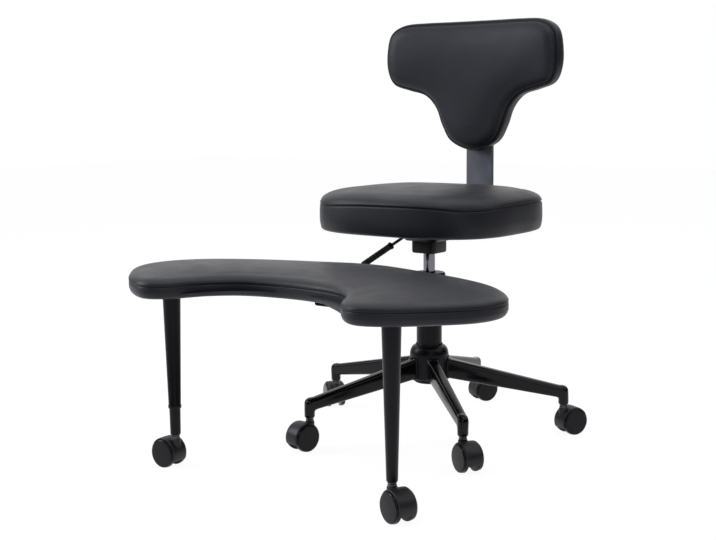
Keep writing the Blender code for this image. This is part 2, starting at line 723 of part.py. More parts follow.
def rest_foot_right(material):
    """Slimmer foot of the stepped leg, with a spigot above and the caster's socket below."""
    shoulder = LEG_STEP_HEIGHT - FIT
    profile = [
        (0.0, CASTER_HEIGHT),
        (LEG_FOOT_RADIUS, CASTER_HEIGHT),
        (leg_radius(shoulder) - LEG_STEP * 0.5, shoulder),
        (LEG_SPIGOT_RADIUS, shoulder),
        (LEG_SPIGOT_RADIUS, shoulder + LEG_SPIGOT_LENGTH),
        (0.0, shoulder + LEG_SPIGOT_LENGTH),
    ]
    place = Matrix.Translation((-LEG_X, LEG_Y, 0.0))
    foot = make_object("rest_foot_right", turned(profile, ROUND_SIDES, place, closed=False), material)
    combine(foot, socket_cutter((-LEG_X, LEG_Y), material), "DIFFERENCE")


# Seat


def seat_outline():
    """Squared oval of the seat."""
    power = 2.0 / SEAT_SQUARENESS
    outline = []
    for index in range(SEAT_POINTS):
        angle = math.tau * index / SEAT_POINTS
        x = math.copysign(abs(math.cos(angle)) ** power, math.cos(angle)) * SEAT_HALF_WIDTH
        y = math.copysign(abs(math.sin(angle)) ** power, math.sin(angle)) * SEAT_HALF_DEPTH
        outline.append((x, y + SEAT_CENTRE_Y))
    return outline


def seat_board(material):
    """Plywood board in the underside of the seat cushion."""
    levels = [(SEAT_BOTTOM, BOARD_INSET), (SEAT_BOTTOM + SEAT_BOARD, BOARD_INSET)]
    make_object("seat_board", loft(padded_rings(seat_outline(), SEAT_SPINE, levels)), material)


def seat_cushion(material):
    """Seat cushion with side band, seam and crowned top panel."""
    pocket = SEAT_BOTTOM + SEAT_BOARD + FIT
    seam = SEAT_BOTTOM + SEAT_SIDE
    profile = cushion_profile(SEAT_BOTTOM - FIT, pocket, seam, seam + SEAT_TOP_RISE, SEAT_CROWN, SEAT_ROLL)
    make_object("seat_cushion", loft(padded_rings(seat_outline(), SEAT_SPINE, profile)), material)


def lever_frame():
    """Frame of the lever: X runs outwards from the column, Z up, at the lever's height."""
    turn = Matrix.Rotation(math.pi + LEVER_TURN, 4, "Z")
    return Matrix.Translation((0.0, 0.0, LEVER_HEIGHT)) @ turn


def seat_mechanism(material):
    """Pressed plate and pan over the box that takes the rod, with the lever's slot and pin holes."""
    stations = (
        (BOX_BOTTOM, BOX_WIDTH - 2 * BOX_EDGE, BOX_DEPTH - 2 * BOX_EDGE, BOX_CORNER - BOX_EDGE),
        (BOX_BOTTOM + BOX_EDGE, BOX_WIDTH, BOX_DEPTH, BOX_CORNER),
        (PAN_BOTTOM, BOX_WIDTH, BOX_DEPTH, BOX_CORNER),
        (PAN_BOTTOM, PAN_WIDTH, PAN_DEPTH, BOX_CORNER),
        (PLATE_BOTTOM, PAN_TOP_WIDTH, PAN_TOP_DEPTH, PLATE_CORNER),
        (PLATE_BOTTOM, PLATE_WIDTH, PLATE_DEPTH, PLATE_CORNER),
        (PLATE_TOP, PLATE_WIDTH, PLATE_DEPTH, PLATE_CORNER),
    )
    rings = [[(x, y, level) for x, y in rounded_rectangle(width, depth, corner)]
             for level, width, depth, corner in stations]
    mechanism = make_object("seat_mechanism", loft(rings), material)
    bore = cylinder(ROD_RADIUS + RUNNING_FIT, BOX_BOTTOM - BOX_DEPTH, ROD_TOP + RUNNING_FIT, ROUND_SIDES)
    combine(mechanism, make_object("rod_room", bore, material), "DIFFERENCE")
    outside = PAN_TOP_WIDTH
    inside = BUTTON_RADIUS + RUNNING_FIT
    slot = [(-inside, -LEVER_SLOT / 2), (outside, -LEVER_SLOT / 2), (outside, LEVER_SLOT / 2),
            (-inside, LEVER_SLOT / 2)]
    roof = PLATE_BOTTOM - LEVER_HEIGHT - FIT
    lever_room = prism(slot, -LEVER_SLOT_DEPTH, roof, lever_frame())
    combine(mechanism, make_object("lever_room", lever_room, material), "DIFFERENCE")
    across = lever_frame() @ Matrix.Translation((LEVER_PIVOT, 0.0, 0.0)) @ Matrix.Rotation(math.pi / 2, 4, "X")
    half_pin = PIN_LENGTH / 2 + FIT
    pin_hole = cylinder(PIN_RADIUS + FIT, -half_pin, half_pin, PIN_SIDES, across)
    combine(mechanism, make_object("pin_room", pin_hole, material), "DIFFERENCE")


def lever_slope():
    """Turn about the lever's cross axis that lays a part down along its sloping end."""
    return Matrix.Rotation(math.pi / 2 + LEVER_DROP, 4, "Y")


def lever_point(reach):
    """Point of the lever's line at a reach past the bend, in the lever's frame."""
    drop = (reach - LEVER_BEND) * math.tan(LEVER_DROP)
    return Vector((reach, 0.0, -drop))


def lever_rod(material):
    """Bent rod: level over the release button, then sloping down into the grip, with its cross pin."""
    half_drop = LEVER_DROP / 2
    grip_in = LEVER_ROD_IN_GRIP * math.cos(LEVER_DROP)
    stations = [(Vector((0.0, 0.0, 0.0)), 0.0), (lever_point(LEVER_BEND), half_drop),
                (lever_point(LEVER_GRIP_START + grip_in), LEVER_DROP)]
    across = Vector((0.0, 1.0, 0.0))
    rings = []
    for centre, slope in stations:
        up = Vector((math.sin(slope), 0.0, math.cos(slope)))
        ring = arc((0.0, 0.0), LEVER_RADIUS, 0.0, math.tau, GRIP_SIDES)[:-1]
        rings.append([centre + across * sideways + up * rise for sideways, rise in ring])
    pivot = Vector((LEVER_PIVOT, 0.0, 0.0))
    rings = [[point - pivot for point in ring] for ring in rings]
    place = lever_frame() @ Matrix.Translation(pivot)
    rod = make_object("lever_rod", loft(rings), material)
    crosswise = Matrix.Rotation(math.pi / 2, 4, "X")
    pin = cylinder(PIN_RADIUS, -PIN_LENGTH / 2, PIN_LENGTH / 2, PIN_SIDES, crosswise)
    combine(rod, make_object("pin", pin, material), "UNION")
    rod.matrix_world = place


def lever_grip(material):
    """Round grip pushed over the end of the rod."""
    bore = LEVER_RADIUS + FIT
    collar = LEVER_GRIP_RADIUS * 1.15
    length = LEVER_GRIP_LENGTH
    profile = [
        (bore, 0.0),
        (collar, 0.0),
        (collar, LEVER_GRIP_RADIUS * 0.6),
        (LEVER_GRIP_RADIUS, LEVER_GRIP_RADIUS),
        (LEVER_GRIP_RADIUS, length - LEVER_GRIP_RADIUS * 0.5),
        (LEVER_GRIP_RADIUS * 0.75, length - LEVER_GRIP_RADIUS * 0.12),
        (0.0, length),
        (0.0, LEVER_ROD_IN_GRIP + FIT),
        (bore, LEVER_ROD_IN_GRIP + FIT),
    ]
    pivot = Vector((LEVER_PIVOT, 0.0, 0.0))
    start = Matrix.Translation(lever_point(LEVER_GRIP_START) - pivot) @ lever_slope()
    grip = make_object("lever_grip", turned(profile, GRIP_SIDES, start), material)
    grip.matrix_world = lever_frame() @ Matrix.Translation(pivot)


# Back


def back_bar(material):
    """Flat bar under the mechanism's plate, bent up behind the seat to the back."""
    half = BAR_THICKNESS / 2
    level = PLATE_BOTTOM - FIT - half
    upright = BAR_FRONT_FACE + half
    centre = (upright - BAR_BEND_RADIUS, level + BAR_BEND_RADIUS)
    path = [((PLATE_DEPTH / 2 - BAR_UNDER_PLATE, level), 0.0)]
    steps = 5
    for step in range(steps + 1):
        angle = math.pi / 2 * step / steps
        path.append(((centre[0] + BAR_BEND_RADIUS * math.sin(angle),
                      centre[1] - BAR_BEND_RADIUS * math.cos(angle)), angle))
    path.append(((upright, BAR_TOP), math.pi / 2))
    rings = []
    for (y, z), angle in path:
        up = Vector((0.0, -math.sin(angle), math.cos(angle)))
        rings.append([Vector((across, y, z)) + up * rise
                      for across, rise in rounded_rectangle(BAR_WIDTH, BAR_THICKNESS, BAR_CORNER, 2)])
    make_object("back_bar", loft(rings), material)


def back_outline():
    """T outline of the back as (x, drop), whole and smooth."""
    half = list(BACK_HALF_OUTLINE)
    mirrored = [(-x, drop) for x, drop in reversed(half[1:-1])]
    return spline_through(half + mirrored, OUTLINE_STEPS)


def bent_panel(rings):
    """Skin rings of (x, drop, depth), then stand them behind the sitter with the wings curving forward."""
    bm = loft(rings)
    bm.normal_update()
    slices = math.floor(BACK_HALF_WIDTH / BACK_SLICE)
    for index in range(-slices, slices + 1):
        flat = [face for face in bm.faces if abs(face.normal.z) > 0.999]
        edges = {edge for face in flat for edge in face.edges}
        corners = {corner for face in flat for corner in face.verts}
        bmesh.ops.bisect_plane(bm, geom=[*corners, *edges, *flat], dist=1e-6,
                               plane_co=(index * BACK_SLICE, 0, 0), plane_no=(1, 0, 0))
        bm.normal_update()
    rear = BAR_FRONT_FACE - FIT
    for corner in bm.verts:
        x, drop, depth = corner.co
        corner.co = (x, rear - depth - BACK_CURVE * (x / BACK_HALF_WIDTH) ** 2, BACK_TOP - drop)
    return bm


def back_board(material):
    """Curved T-shaped board that the bar is bolted to."""
    levels = [(0.0, BOARD_INSET), (BACK_BOARD, BOARD_INSET)]
    make_object("back_board", bent_panel(padded_rings(back_outline(), BACK_SPINE, levels)), material)


def back_cushion(material):
    """T-shaped cushion round the board, with its boxing, seam and crowned front."""
    seam = BACK_PAD * 0.78
    profile = cushion_profile(FIT, BACK_BOARD + FIT, seam, BACK_PAD, BACK_CROWN, BACK_ROLL)
    make_object("back_cushion", bent_panel(padded_rings(back_outline(), BACK_SPINE, profile)), material)


def main():
    """Build every piece of the chair."""
    clear_scene()
    leather = make_material("black_leather", (0.032, 0.032, 0.036), 0.5)
    plywood = make_material("dark_board", (0.055, 0.05, 0.045), 0.8)
    satin = make_material("satin_black_steel", (0.012, 0.012, 0.014), 0.4, 0.3)
    bar_steel = make_material("grey_steel", (0.11, 0.11, 0.12), 0.42, 0.6)
    chrome = make_material("bright_rod", (0.55, 0.55, 0.57), 0.2, 1.0)
    nylon = make_material("black_nylon", (0.014, 0.014, 0.016), 0.42)
    tyre = make_material("wheel_nylon", (0.02, 0.02, 0.022), 0.55)
    pin_steel = make_material("pin_steel", (0.35, 0.35, 0.36), 0.3, 1.0)
    grip = make_material("grip_plastic", (0.016, 0.016, 0.018), 0.5)

    make_casters(nylon, tyre, pin_steel)
    base_hub(satin)
    for index in range(ARM_COUNT):
        base_arm(index, satin)
    gas_column(satin)
    gas_rod(chrome)
    release_button(pin_steel)
    swivel_collar(satin)
    carrier_arm(satin)
    rest_board(plywood)
    rest_pad(leather)
    rest_leg_left(satin)
    rest_leg_right(satin)
    rest_foot_right(satin)
    seat_board(plywood)
    seat_cushion(leather)
    seat_mechanism(satin)
    lever_rod(satin)
    lever_grip(grip)
    back_bar(bar_steel)
    back_board(plywood)
    back_cushion(leather)


main()
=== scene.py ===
# %% [markdown]
# A cross-legged office chair: a padded seat and a T-shaped back on a gas lift, with a boomerang leg rest
# that swivels round the column on two castered legs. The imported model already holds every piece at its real
# size and place. This lesson dresses it: upholstery for the cushions, finer turned and swept shapes for the
# metal and the casters, and a finish for every surface.

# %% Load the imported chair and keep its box
import json
import math

import bmesh
import bpy
from mathutils import Matrix, Vector


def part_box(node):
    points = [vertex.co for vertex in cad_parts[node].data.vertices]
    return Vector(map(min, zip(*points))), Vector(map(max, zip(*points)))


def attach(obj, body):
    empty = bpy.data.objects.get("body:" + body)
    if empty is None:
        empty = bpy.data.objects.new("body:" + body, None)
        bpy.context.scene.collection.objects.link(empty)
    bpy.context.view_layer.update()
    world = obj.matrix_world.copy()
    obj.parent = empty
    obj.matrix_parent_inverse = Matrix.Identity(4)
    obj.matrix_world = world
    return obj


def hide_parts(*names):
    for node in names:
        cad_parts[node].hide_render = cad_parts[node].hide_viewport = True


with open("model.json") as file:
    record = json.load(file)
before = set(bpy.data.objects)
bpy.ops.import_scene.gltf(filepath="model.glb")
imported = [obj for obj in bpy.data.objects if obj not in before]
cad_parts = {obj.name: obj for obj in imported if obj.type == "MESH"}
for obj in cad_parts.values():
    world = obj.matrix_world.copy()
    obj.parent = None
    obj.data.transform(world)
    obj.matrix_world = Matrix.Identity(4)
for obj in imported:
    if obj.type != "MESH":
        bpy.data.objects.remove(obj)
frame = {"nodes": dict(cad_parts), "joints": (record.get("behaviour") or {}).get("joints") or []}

scene = bpy.context.scene
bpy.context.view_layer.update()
joints = {joint["name"]: joint for joint in frame["joints"]}

# %% [markdown]
# The camera comes first, because every comparison depends on it. It stands at the front left of the sitter,
# a little above the leg rest, with a long lens. The place and the line of sight were fitted to the feet of
# the casters, and the small roll levels the picture as the photograph has it.

# %% Camera
PHOTO_WIDTH = 716
FOCAL_PIXELS = 1213.0
SENSOR = 36.0
CAMERA_PLACE = Vector((1.2955, -1.9794, 0.6535))
SIGHT = Vector((-0.5905, 0.7952, -0.1381)).normalized()
ROLL = math.radians(-0.48)


def camera_matrix(place, sight, roll):
    """Camera axes from the line of sight, turned by the roll."""
    right = sight.cross(Vector((0, 0, 1))).normalized()
    up = right.cross(sight)
    turned_right = right * math.cos(roll) + up * math.sin(roll)
    turned_up = up * math.cos(roll) - right * math.sin(roll)
    matrix = Matrix((turned_right, turned_up, -sight)).transposed().to_4x4()
    matrix.translation = place
    return matrix


camera = bpy.data.objects.new("camera", bpy.data.cameras.new("camera"))
camera.data.sensor_width = SENSOR
camera.data.lens = FOCAL_PIXELS / PHOTO_WIDTH * SENSOR
camera.matrix_world = camera_matrix(CAMERA_PLACE, SIGHT, ROLL)
scene.collection.objects.link(camera)
scene.camera = camera
print("lens", round(camera.data.lens, 2), "mm")

# %% [markdown]
# A product photograph on white has two parts to its light. The backdrop is white to the eye and in
# reflections, and the lamps stay at a plain level, so that black leather stays black. The world does the
# first through Light Path, and area lamps do the second: a wide and a small one overhead and four round the
# chair, the strongest on the left of the picture. The small one draws the thin bright lines on glossy
# edges. A dark curtain hangs round the room and leaves a gap behind the chair, so that black and chrome
# faces turned to the camera have something dark to mirror; the camera itself looks past it.

# %% World, floor and lamps
scene.view_settings.view_transform = "Standard"
BACKDROP = 1.0
FILL = 0.25
FLOOR_GLOW, FLOOR_GLOW_SHARE = 1.15, 0.82
CURTAIN_RADIUS, CURTAIN_HEIGHT = 3.4, 2.3
CURTAIN_START, CURTAIN_TURN = math.radians(-105), math.radians(275)
LAMP_TINT = (0.89, 0.92, 1.0)
LAMPS = (
    # name, place, aim, size, watts
    ("overhead", (0.1, 0.25, 2.6), (0.0, -0.1, 0.4), 2.0, 12.0),
    ("spot_above", (0.35, -1.1, 2.3), (0.0, -0.2, 0.2), 0.28, 6.0),
    ("left_side", (-2.4, -1.2, 1.5), (0.0, -0.1, 0.4), 1.6, 18.0),
    ("front_left", (-2.2, -1.75, 1.55), (0.0, 0.0, 0.7), 1.2, 31.0),
    ("right_side", (2.3, 0.9, 1.9), (0.0, 0.0, 0.5), 1.0, 7.0),
    ("front_right", (1.8, -2.1, 1.2), (0.0, -0.1, 0.4), 1.2, 8.0),
)


def seen_directly(nodes, links):
    """One where a camera, mirror or glass ray looks, and zero for the light that falls on the chair."""
    path = nodes.new("ShaderNodeLightPath")
    either = nodes.new("ShaderNodeMath")
    either.operation = "MAXIMUM"
    links.new(path.outputs["Is Camera Ray"], either.inputs[0])
    links.new(path.outputs["Is Glossy Ray"], either.inputs[1])
    with_glass = nodes.new("ShaderNodeMath")
    with_glass.operation = "MAXIMUM"
    links.new(either.outputs[0], with_glass.inputs[0])
    links.new(path.outputs["Is Transmission Ray"], with_glass.inputs[1])
    return with_glass.outputs[0]


def white_world():
    """White where it is seen, softer where it only lights."""
    world = bpy.data.worlds.new("studio")
    world.use_nodes = True
    nodes, links = world.node_tree.nodes, world.node_tree.links
    strength = nodes.new("ShaderNodeMapRange")
    strength.inputs["To Min"].default_value = FILL
    strength.inputs["To Max"].default_value = BACKDROP
    links.new(seen_directly(nodes, links), strength.inputs["Value"])
    background = nodes["Background"]
    background.inputs["Color"].default_value = (1, 1, 1, 1)
    links.new(strength.outputs["Result"], background.inputs["Strength"])
    scene.world = world


def pale_floor():
    """A wide floor that keeps a faint shadow on white."""
    bm = bmesh.new()
    bmesh.ops.create_grid(bm, x_segments=1, y_segments=1, size=9.0)
    mesh = bpy.data.meshes.new("floor")
    bm.to_mesh(mesh)
    bm.free()
    floor = bpy.data.objects.new("floor", mesh)
    material = bpy.data.materials.new("studio_floor")
    material.use_nodes = True
    nodes, links = material.node_tree.nodes, material.node_tree.links
    matte = nodes["Principled BSDF"]
    matte.inputs["Base Color"].default_value = (0.92, 0.92, 0.92, 1)
    matte.inputs["Roughness"].default_value = 0.9
    matte.inputs["Specular IOR Level"].default_value = 0.1
    glow = nodes.new("ShaderNodeEmission")
    glow.inputs["Strength"].default_value = BACKDROP * FLOOR_GLOW
    share = nodes.new("ShaderNodeMath")
    share.operation = "MULTIPLY"
    share.inputs[1].default_value = FLOOR_GLOW_SHARE
    links.new(seen_directly(nodes, links), share.inputs[0])
    blend = nodes.new("ShaderNodeMixShader")
    links.new(share.outputs[0], blend.inputs[0])
    links.new(matte.outputs[0], blend.inputs[1])
    links.new(glow.outputs[0], blend.inputs[2])
    links.new(blend.outputs[0], nodes["Material Output"].inputs["Surface"])
    mesh.materials.append(material)
    scene.collection.objects.link(floor)


def dark_curtain():
    """A wide drum, open at the back, that only mirrors and soft light can see."""
    bm = bmesh.new()
    low, high = (bm.verts.new((0, -CURTAIN_RADIUS, level)) for level in (0.02, CURTAIN_HEIGHT))
    edge = bm.edges.new((low, high))
    bmesh.ops.rotate(bm, verts=bm.verts, cent=(0, 0, 0), matrix=Matrix.Rotation(CURTAIN_START, 3, "Z"))
    bmesh.ops.spin(bm, geom=[low, high, edge], axis=(0, 0, 1), cent=(0, 0, 0), angle=CURTAIN_TURN, steps=24,
                   use_merge=False, use_duplicate=False)
    mesh = bpy.data.meshes.new("curtain")
    bm.to_mesh(mesh)
    bm.free()
    material = bpy.data.materials.new("curtain_cloth")
    material.use_nodes = True
    material.node_tree.nodes["Principled BSDF"].inputs["Base Color"].default_value = (0.03, 0.03, 0.033, 1)
    material.node_tree.nodes["Principled BSDF"].inputs["Roughness"].default_value = 0.95
    mesh.materials.append(material)
    curtain = bpy.data.objects.new("curtain", mesh)
    curtain.visible_camera = False
    curtain.visible_shadow = False
    scene.collection.objects.link(curtain)


def hang_lamp(name, place, aim, size, watts):
    """A square area lamp that looks at its aim."""
    lamp = bpy.data.objects.new(name, bpy.data.lights.new(name, "AREA"))
    lamp.data.size = size
    lamp.data.energy = watts
    lamp.data.color = LAMP_TINT
    lamp.location = place
    lamp.rotation_euler = (Vector(aim) - Vector(place)).to_track_quat("-Z", "Y").to_euler()
    scene.collection.objects.link(lamp)


white_world()
pale_floor()
dark_curtain()
for lamp_values in LAMPS:
    hang_lamp(*lamp_values)
print("lamps", len(LAMPS))

# %% [markdown]
# Every finish starts from the Principled shader and gets its detail from noise on Object coordinates, in
# metres, so a grain of one millimetre is a noise scale of about a thousand. Four small helpers cover them
# all: varied colour, varied roughness, a bump, and paint that wears thin on the edges.

# %% Helpers for finishes
def new_finish(name, colour, roughness, metallic=0.0, specular=0.5):
    """A Principled material with its plain values set on the shader's own sockets."""
    material = bpy.data.materials.new(name)
    material.use_nodes = True
    shader = material.node_tree.nodes["Principled BSDF"]
    shader.inputs["Base Color"].default_value = (*colour, 1)
    shader.inputs["Roughness"].default_value = roughness
    shader.inputs["Metallic"].default_value = metallic
    shader.inputs["Specular IOR Level"].default_value = specular
    material.diffuse_color = (*colour, 1)
    return material


def add_node(material, kind, **values):
    """A node with some of its sockets set."""
    node = material.node_tree.nodes.new(kind)
    for socket, value in values.items():
        node.inputs[socket.replace("_", " ")].default_value = value
    return node


def wire(material, source, target):
    material.node_tree.links.new(source, target)


def shader_of(material):
    return material.node_tree.nodes["Principled BSDF"]


def object_grid(material, stretch=(1.0, 1.0, 1.0)):
    """Object coordinates, stretched where a grain runs one way."""
    coordinates = add_node(material, "ShaderNodeTexCoord")
    mapping = add_node(material, "ShaderNodeMapping", Scale=stretch)
    wire(material, coordinates.outputs["Object"], mapping.inputs["Vector"])
    return mapping.outputs["Vector"]


def noise(material, vector, scale, detail=3.0):
    """Soft noise between 0 and 1."""
    node = add_node(material, "ShaderNodeTexNoise", Scale=scale, Detail=detail)
    wire(material, vector, node.inputs["Vector"])
    return node.outputs["Fac"]


def spread(material, source, low, high, start=0.3, end=0.7):
    """Stretch the middle of a noise over a range."""
    node = add_node(material, "ShaderNodeMapRange", From_Min=start, From_Max=end, To_Min=low, To_Max=high)
    wire(material, source, node.inputs["Value"])
    return node.outputs["Result"]


def vary_colour(material, source, dark, light):
    """Colour that drifts between two tones."""
    ramp = add_node(material, "ShaderNodeValToRGB")
    ramp.color_ramp.elements[0].position = 0.3
    ramp.color_ramp.elements[0].color = (*dark, 1)
    ramp.color_ramp.elements[1].position = 0.7
    ramp.color_ramp.elements[1].color = (*light, 1)
    wire(material, source, ramp.inputs["Fac"])
    wire(material, ramp.outputs["Color"], shader_of(material).inputs["Base Color"])
    return ramp.outputs["Color"]


def vary_roughness(material, source, low, high):
    wire(material, spread(material, source, low, high), shader_of(material).inputs["Roughness"])


def add_bump(material, source, depth, strength=1.0):
    """Stack a bump of a depth in metres on what the shader has already."""
    shader = shader_of(material)
    bump = add_node(material, "ShaderNodeBump", Strength=strength, Distance=depth)
    wire(material, source, bump.inputs["Height"])
    if shader.inputs["Normal"].is_linked:
        wire(material, shader.inputs["Normal"].links[0].from_socket, bump.inputs["Normal"])
    wire(material, bump.outputs["Normal"], shader.inputs["Normal"])


# sockets of a Mix node that hold colours, and the pointiness where wear starts and is full
MIX_FIRST, MIX_SECOND, MIX_RESULT = 6, 7, 2
WEAR_STARTS, WEAR_FULL = 0.53, 0.62


def wear_edges(material, colour, worn, amount):
    """Mix a lighter tone into the paint where the surface is sharply convex."""
    geometry = add_node(material, "ShaderNodeNewGeometry")
    edge = spread(material, geometry.outputs["Pointiness"], 0.0, amount, WEAR_STARTS, WEAR_FULL)
    mix = add_node(material, "ShaderNodeMix")
    mix.data_type = "RGBA"
    wire(material, edge, mix.inputs["Factor"])
    wire(material, colour, mix.inputs[MIX_FIRST])
    mix.inputs[MIX_SECOND].default_value = (*worn, 1)
    wire(material, mix.outputs[MIX_RESULT], shader_of(material).inputs["Base Color"])


# %% [markdown]
# The covers are black synthetic leather: a fine pebble grain of small cells with creases between them, a
# faint drift of tone, and a satin sheen that is not even. A Voronoi's distance to the edge draws the crease
# network, which plain noise cannot do.

# %% Leather and thread
def pebbled_leather():
    material = new_finish("pebbled_leather", (0.0104, 0.0110, 0.0162), 0.43, specular=0.29)
    vector = object_grid(material)
    vary_colour(material, noise(material, vector, 7.0), (0.0094, 0.0099, 0.0150), (0.0124, 0.0130, 0.0188))
    vary_roughness(material, noise(material, vector, 26.0, 5.0), 0.39, 0.48)
    cells = add_node(material, "ShaderNodeTexVoronoi", Scale=820.0)
    cells.feature = "DISTANCE_TO_EDGE"
    wire(material, vector, cells.inputs["Vector"])
    add_bump(material, spread(material, cells.outputs["Distance"], 0.0, 1.0, 0.0, 0.22), 0.00011, 0.5)
    add_bump(material, noise(material, vector, 90.0, 4.0), 0.0003, 0.35)
    shader_of(material).inputs["Sheen Weight"].default_value = 0.04
    shader_of(material).inputs["Sheen Roughness"].default_value = 0.5
    return material


def sewing_thread():
    material = new_finish("sewing_thread", (0.012, 0.012, 0.013), 0.7, specular=0.3)
    vector = object_grid(material)
    vary_colour(material, noise(material, vector, 900.0), (0.009, 0.009, 0.01), (0.02, 0.02, 0.022))
    add_bump(material, noise(material, vector, 3200.0), 0.0001, 0.6)
    return material


leather, thread = pebbled_leather(), sewing_thread()
print("soft finishes", leather.name, thread.name)

# %% [markdown]
# The frame is powder-coated steel. Its hub, column, collar and legs are satin, the arms of the base are
# glossier, and the flat bar behind the seat is a dark grey. Powder coat is never mirror flat: a fine orange
# peel breaks up the highlights, and edges wear a little paler.

# %% Metals
def powder_coat(name, tone, low, high, specular=0.5):
    """Sprayed paint: slight drift of tone, orange peel and pale edges."""
    material = new_finish(name, tone, (low + high) / 2, specular=specular)
    vector = object_grid(material)
    lighter = tuple(value * 1.35 for value in tone)
    colour = vary_colour(material, noise(material, vector, 30.0), tone, lighter)
    vary_roughness(material, noise(material, vector, 55.0, 4.0), low, high)
    add_bump(material, noise(material, vector, 650.0, 2.0), 0.00002, 0.5)
    wear_edges(material, colour, tuple(value * 3 + 0.006 for value in tone), 0.2)
    return material


def polished_rod():
    """Hard chrome, with fine grinding marks round the rod."""
    material = new_finish("polished_rod", (0.17, 0.17, 0.19), 0.09, metallic=1.0)
    vector = object_grid(material, (1.0, 1.0, 40.0))
    vary_roughness(material, noise(material, vector, 60.0, 4.0), 0.06, 0.12)
    add_bump(material, noise(material, vector, 120.0, 3.0), 0.00001, 0.4)
    return material


def plated_steel(name, dark, light):
    """Bolts and stems: bright zinc, or dark burnished steel."""
    material = new_finish(name, light, 0.32, metallic=1.0)
    vector = object_grid(material)
    vary_colour(material, noise(material, vector, 160.0), dark, light)
    vary_roughness(material, noise(material, vector, 300.0, 4.0), 0.25, 0.45)
    return material


burnished = plated_steel("burnished_steel", (0.055, 0.055, 0.062), (0.09, 0.09, 0.098))
plated = plated_steel("plated_steel", (0.24, 0.24, 0.25), (0.38, 0.38, 0.39))
satin_black = powder_coat("satin_black", (0.0034, 0.0036, 0.0054), 0.30, 0.38, 0.17)
gloss_black = powder_coat("gloss_black", (0.0038, 0.0039, 0.0055), 0.13, 0.19, 0.20)
bar_grey = powder_coat("bar_grey", (0.130, 0.132, 0.152), 0.36, 0.44, 0.4)
rod_chrome = polished_rod()
print("metal finishes", 6)

# %% [markdown]
# The casters are moulded nylon: a dull hood and glossier wheels. The boards under the cushions are stained
# plywood with a grain along their width, and the lever's grip is a matte, slightly grained plastic.

# %% Plastics and board
def moulded_nylon(name, tone, low, high, grain, specular=0.34):
    material = new_finish(name, tone, (low + high) / 2, specular=specular)
    vector = object_grid(material)
    lighter = tuple(value * 1.25 for value in tone)
    colour = vary_colour(material, noise(material, vector, 40.0), tone, lighter)
    vary_roughness(material, noise(material, vector, 60.0, 3.0), low, high)
    add_bump(material, noise(material, vector, 1400.0, 2.0), grain, 0.5)
    wear_edges(material, colour, tuple(value * 2 + 0.004 for value in tone), 0.2)
    return material


def stained_plywood():
    material = new_finish("stained_plywood", (0.03, 0.027, 0.024), 0.75)
    vector = object_grid(material, (4.0, 70.0, 160.0))
    grain = noise(material, vector, 4.0, 6.0)
    vary_colour(material, grain, (0.018, 0.016, 0.015), (0.05, 0.044, 0.038))
    vary_roughness(material, grain, 0.65, 0.85)
    add_bump(material, grain, 0.0002, 0.6)
    return material


hood_nylon = moulded_nylon("hood_nylon", (0.0115, 0.0115, 0.0150), 0.40, 0.50, 0.00002)
wheel_nylon = moulded_nylon("wheel_nylon", (0.0080, 0.0080, 0.0105), 0.12, 0.18, 0.00001, 0.16)
grip_plastic = moulded_nylon("grip_plastic", (0.0020, 0.0020, 0.0025), 0.45, 0.55, 0.00008, 0.14)
board_wood = stained_plywood()
print("plastic and board finishes", 4)

# %% [markdown]
# Most shapes here are one of two kinds. A turned piece is a profile spun round an axis. A swept or padded
# piece is a closed outline drawn once and then pulled, ring by ring, with extrude. Each new ring keeps the
# number of the corner that it came from in a layer, so it can be set down exactly where the next outline
# lies.

# %% Helpers for shapes
def pull_rings(rings, open_end=False):
    """Draw the first ring, extrude it through the others and close the ends."""
    bm = bmesh.new()
    corner = bm.verts.layers.int.new("corner")
    level = bm.verts.layers.int.new("ring")
    loop = [bm.verts.new(point) for point in rings[0]]
    for number, vert in enumerate(loop):
        vert[corner] = number
    edges = [bm.edges.new((loop[number - 1], loop[number])) for number in range(len(loop))]
    bmesh.ops.edgeloop_fill(bm, edges=edges)
    for number, ring in enumerate(rings[1:], 1):
        made = bmesh.ops.extrude_edge_only(bm, edges=edges)["geom"]
        fresh = {item for item in made if isinstance(item, bmesh.types.BMVert)}
        for vert in fresh:
            vert.co = ring[vert[corner]]
            vert[level] = number
        edges = [item for item in made
                 if isinstance(item, bmesh.types.BMEdge) and fresh.issuperset(item.verts)]
    if not open_end:
        bmesh.ops.edgeloop_fill(bm, edges=edges)
    bmesh.ops.recalc_face_normals(bm, faces=bm.faces)
    return bm


def turn_profile(profile, place=Matrix.Identity(4), steps=64, ring=False):
    """Spin a profile of (radius, height) points round Z and set it in place; a ring's profile is closed."""
    bm = bmesh.new()
    points = [bm.verts.new((radius, 0, height)) for radius, height in profile]
    pairs = list(zip(points, points[1:])) + ([(points[-1], points[0])] if ring else [])
    edges = [bm.edges.new(pair) for pair in pairs]
    bmesh.ops.spin(bm, geom=points + edges, axis=(0, 0, 1), cent=(0, 0, 0), angle=math.tau, steps=steps,
                   use_merge=True, use_duplicate=False)
    bmesh.ops.remove_doubles(bm, verts=bm.verts, dist=1e-6)
    bmesh.ops.dissolve_degenerate(bm, edges=bm.edges, dist=1e-6)
    bmesh.ops.recalc_face_normals(bm, faces=bm.faces)
    bmesh.ops.transform(bm, matrix=place, verts=bm.verts)
    return bm


def soften(bm, width, angle=30, segments=2):
    """Round every edge that turns by more than an angle."""
    sharp = [edge for edge in bm.edges if edge.is_manifold and edge.calc_face_angle() > math.radians(angle)]
    bmesh.ops.bevel(bm, geom=sharp, offset=width, offset_type="OFFSET", segments=segments, profile=0.5,
                    affect="EDGES", material=-1, clamp_overlap=True)
    return bm


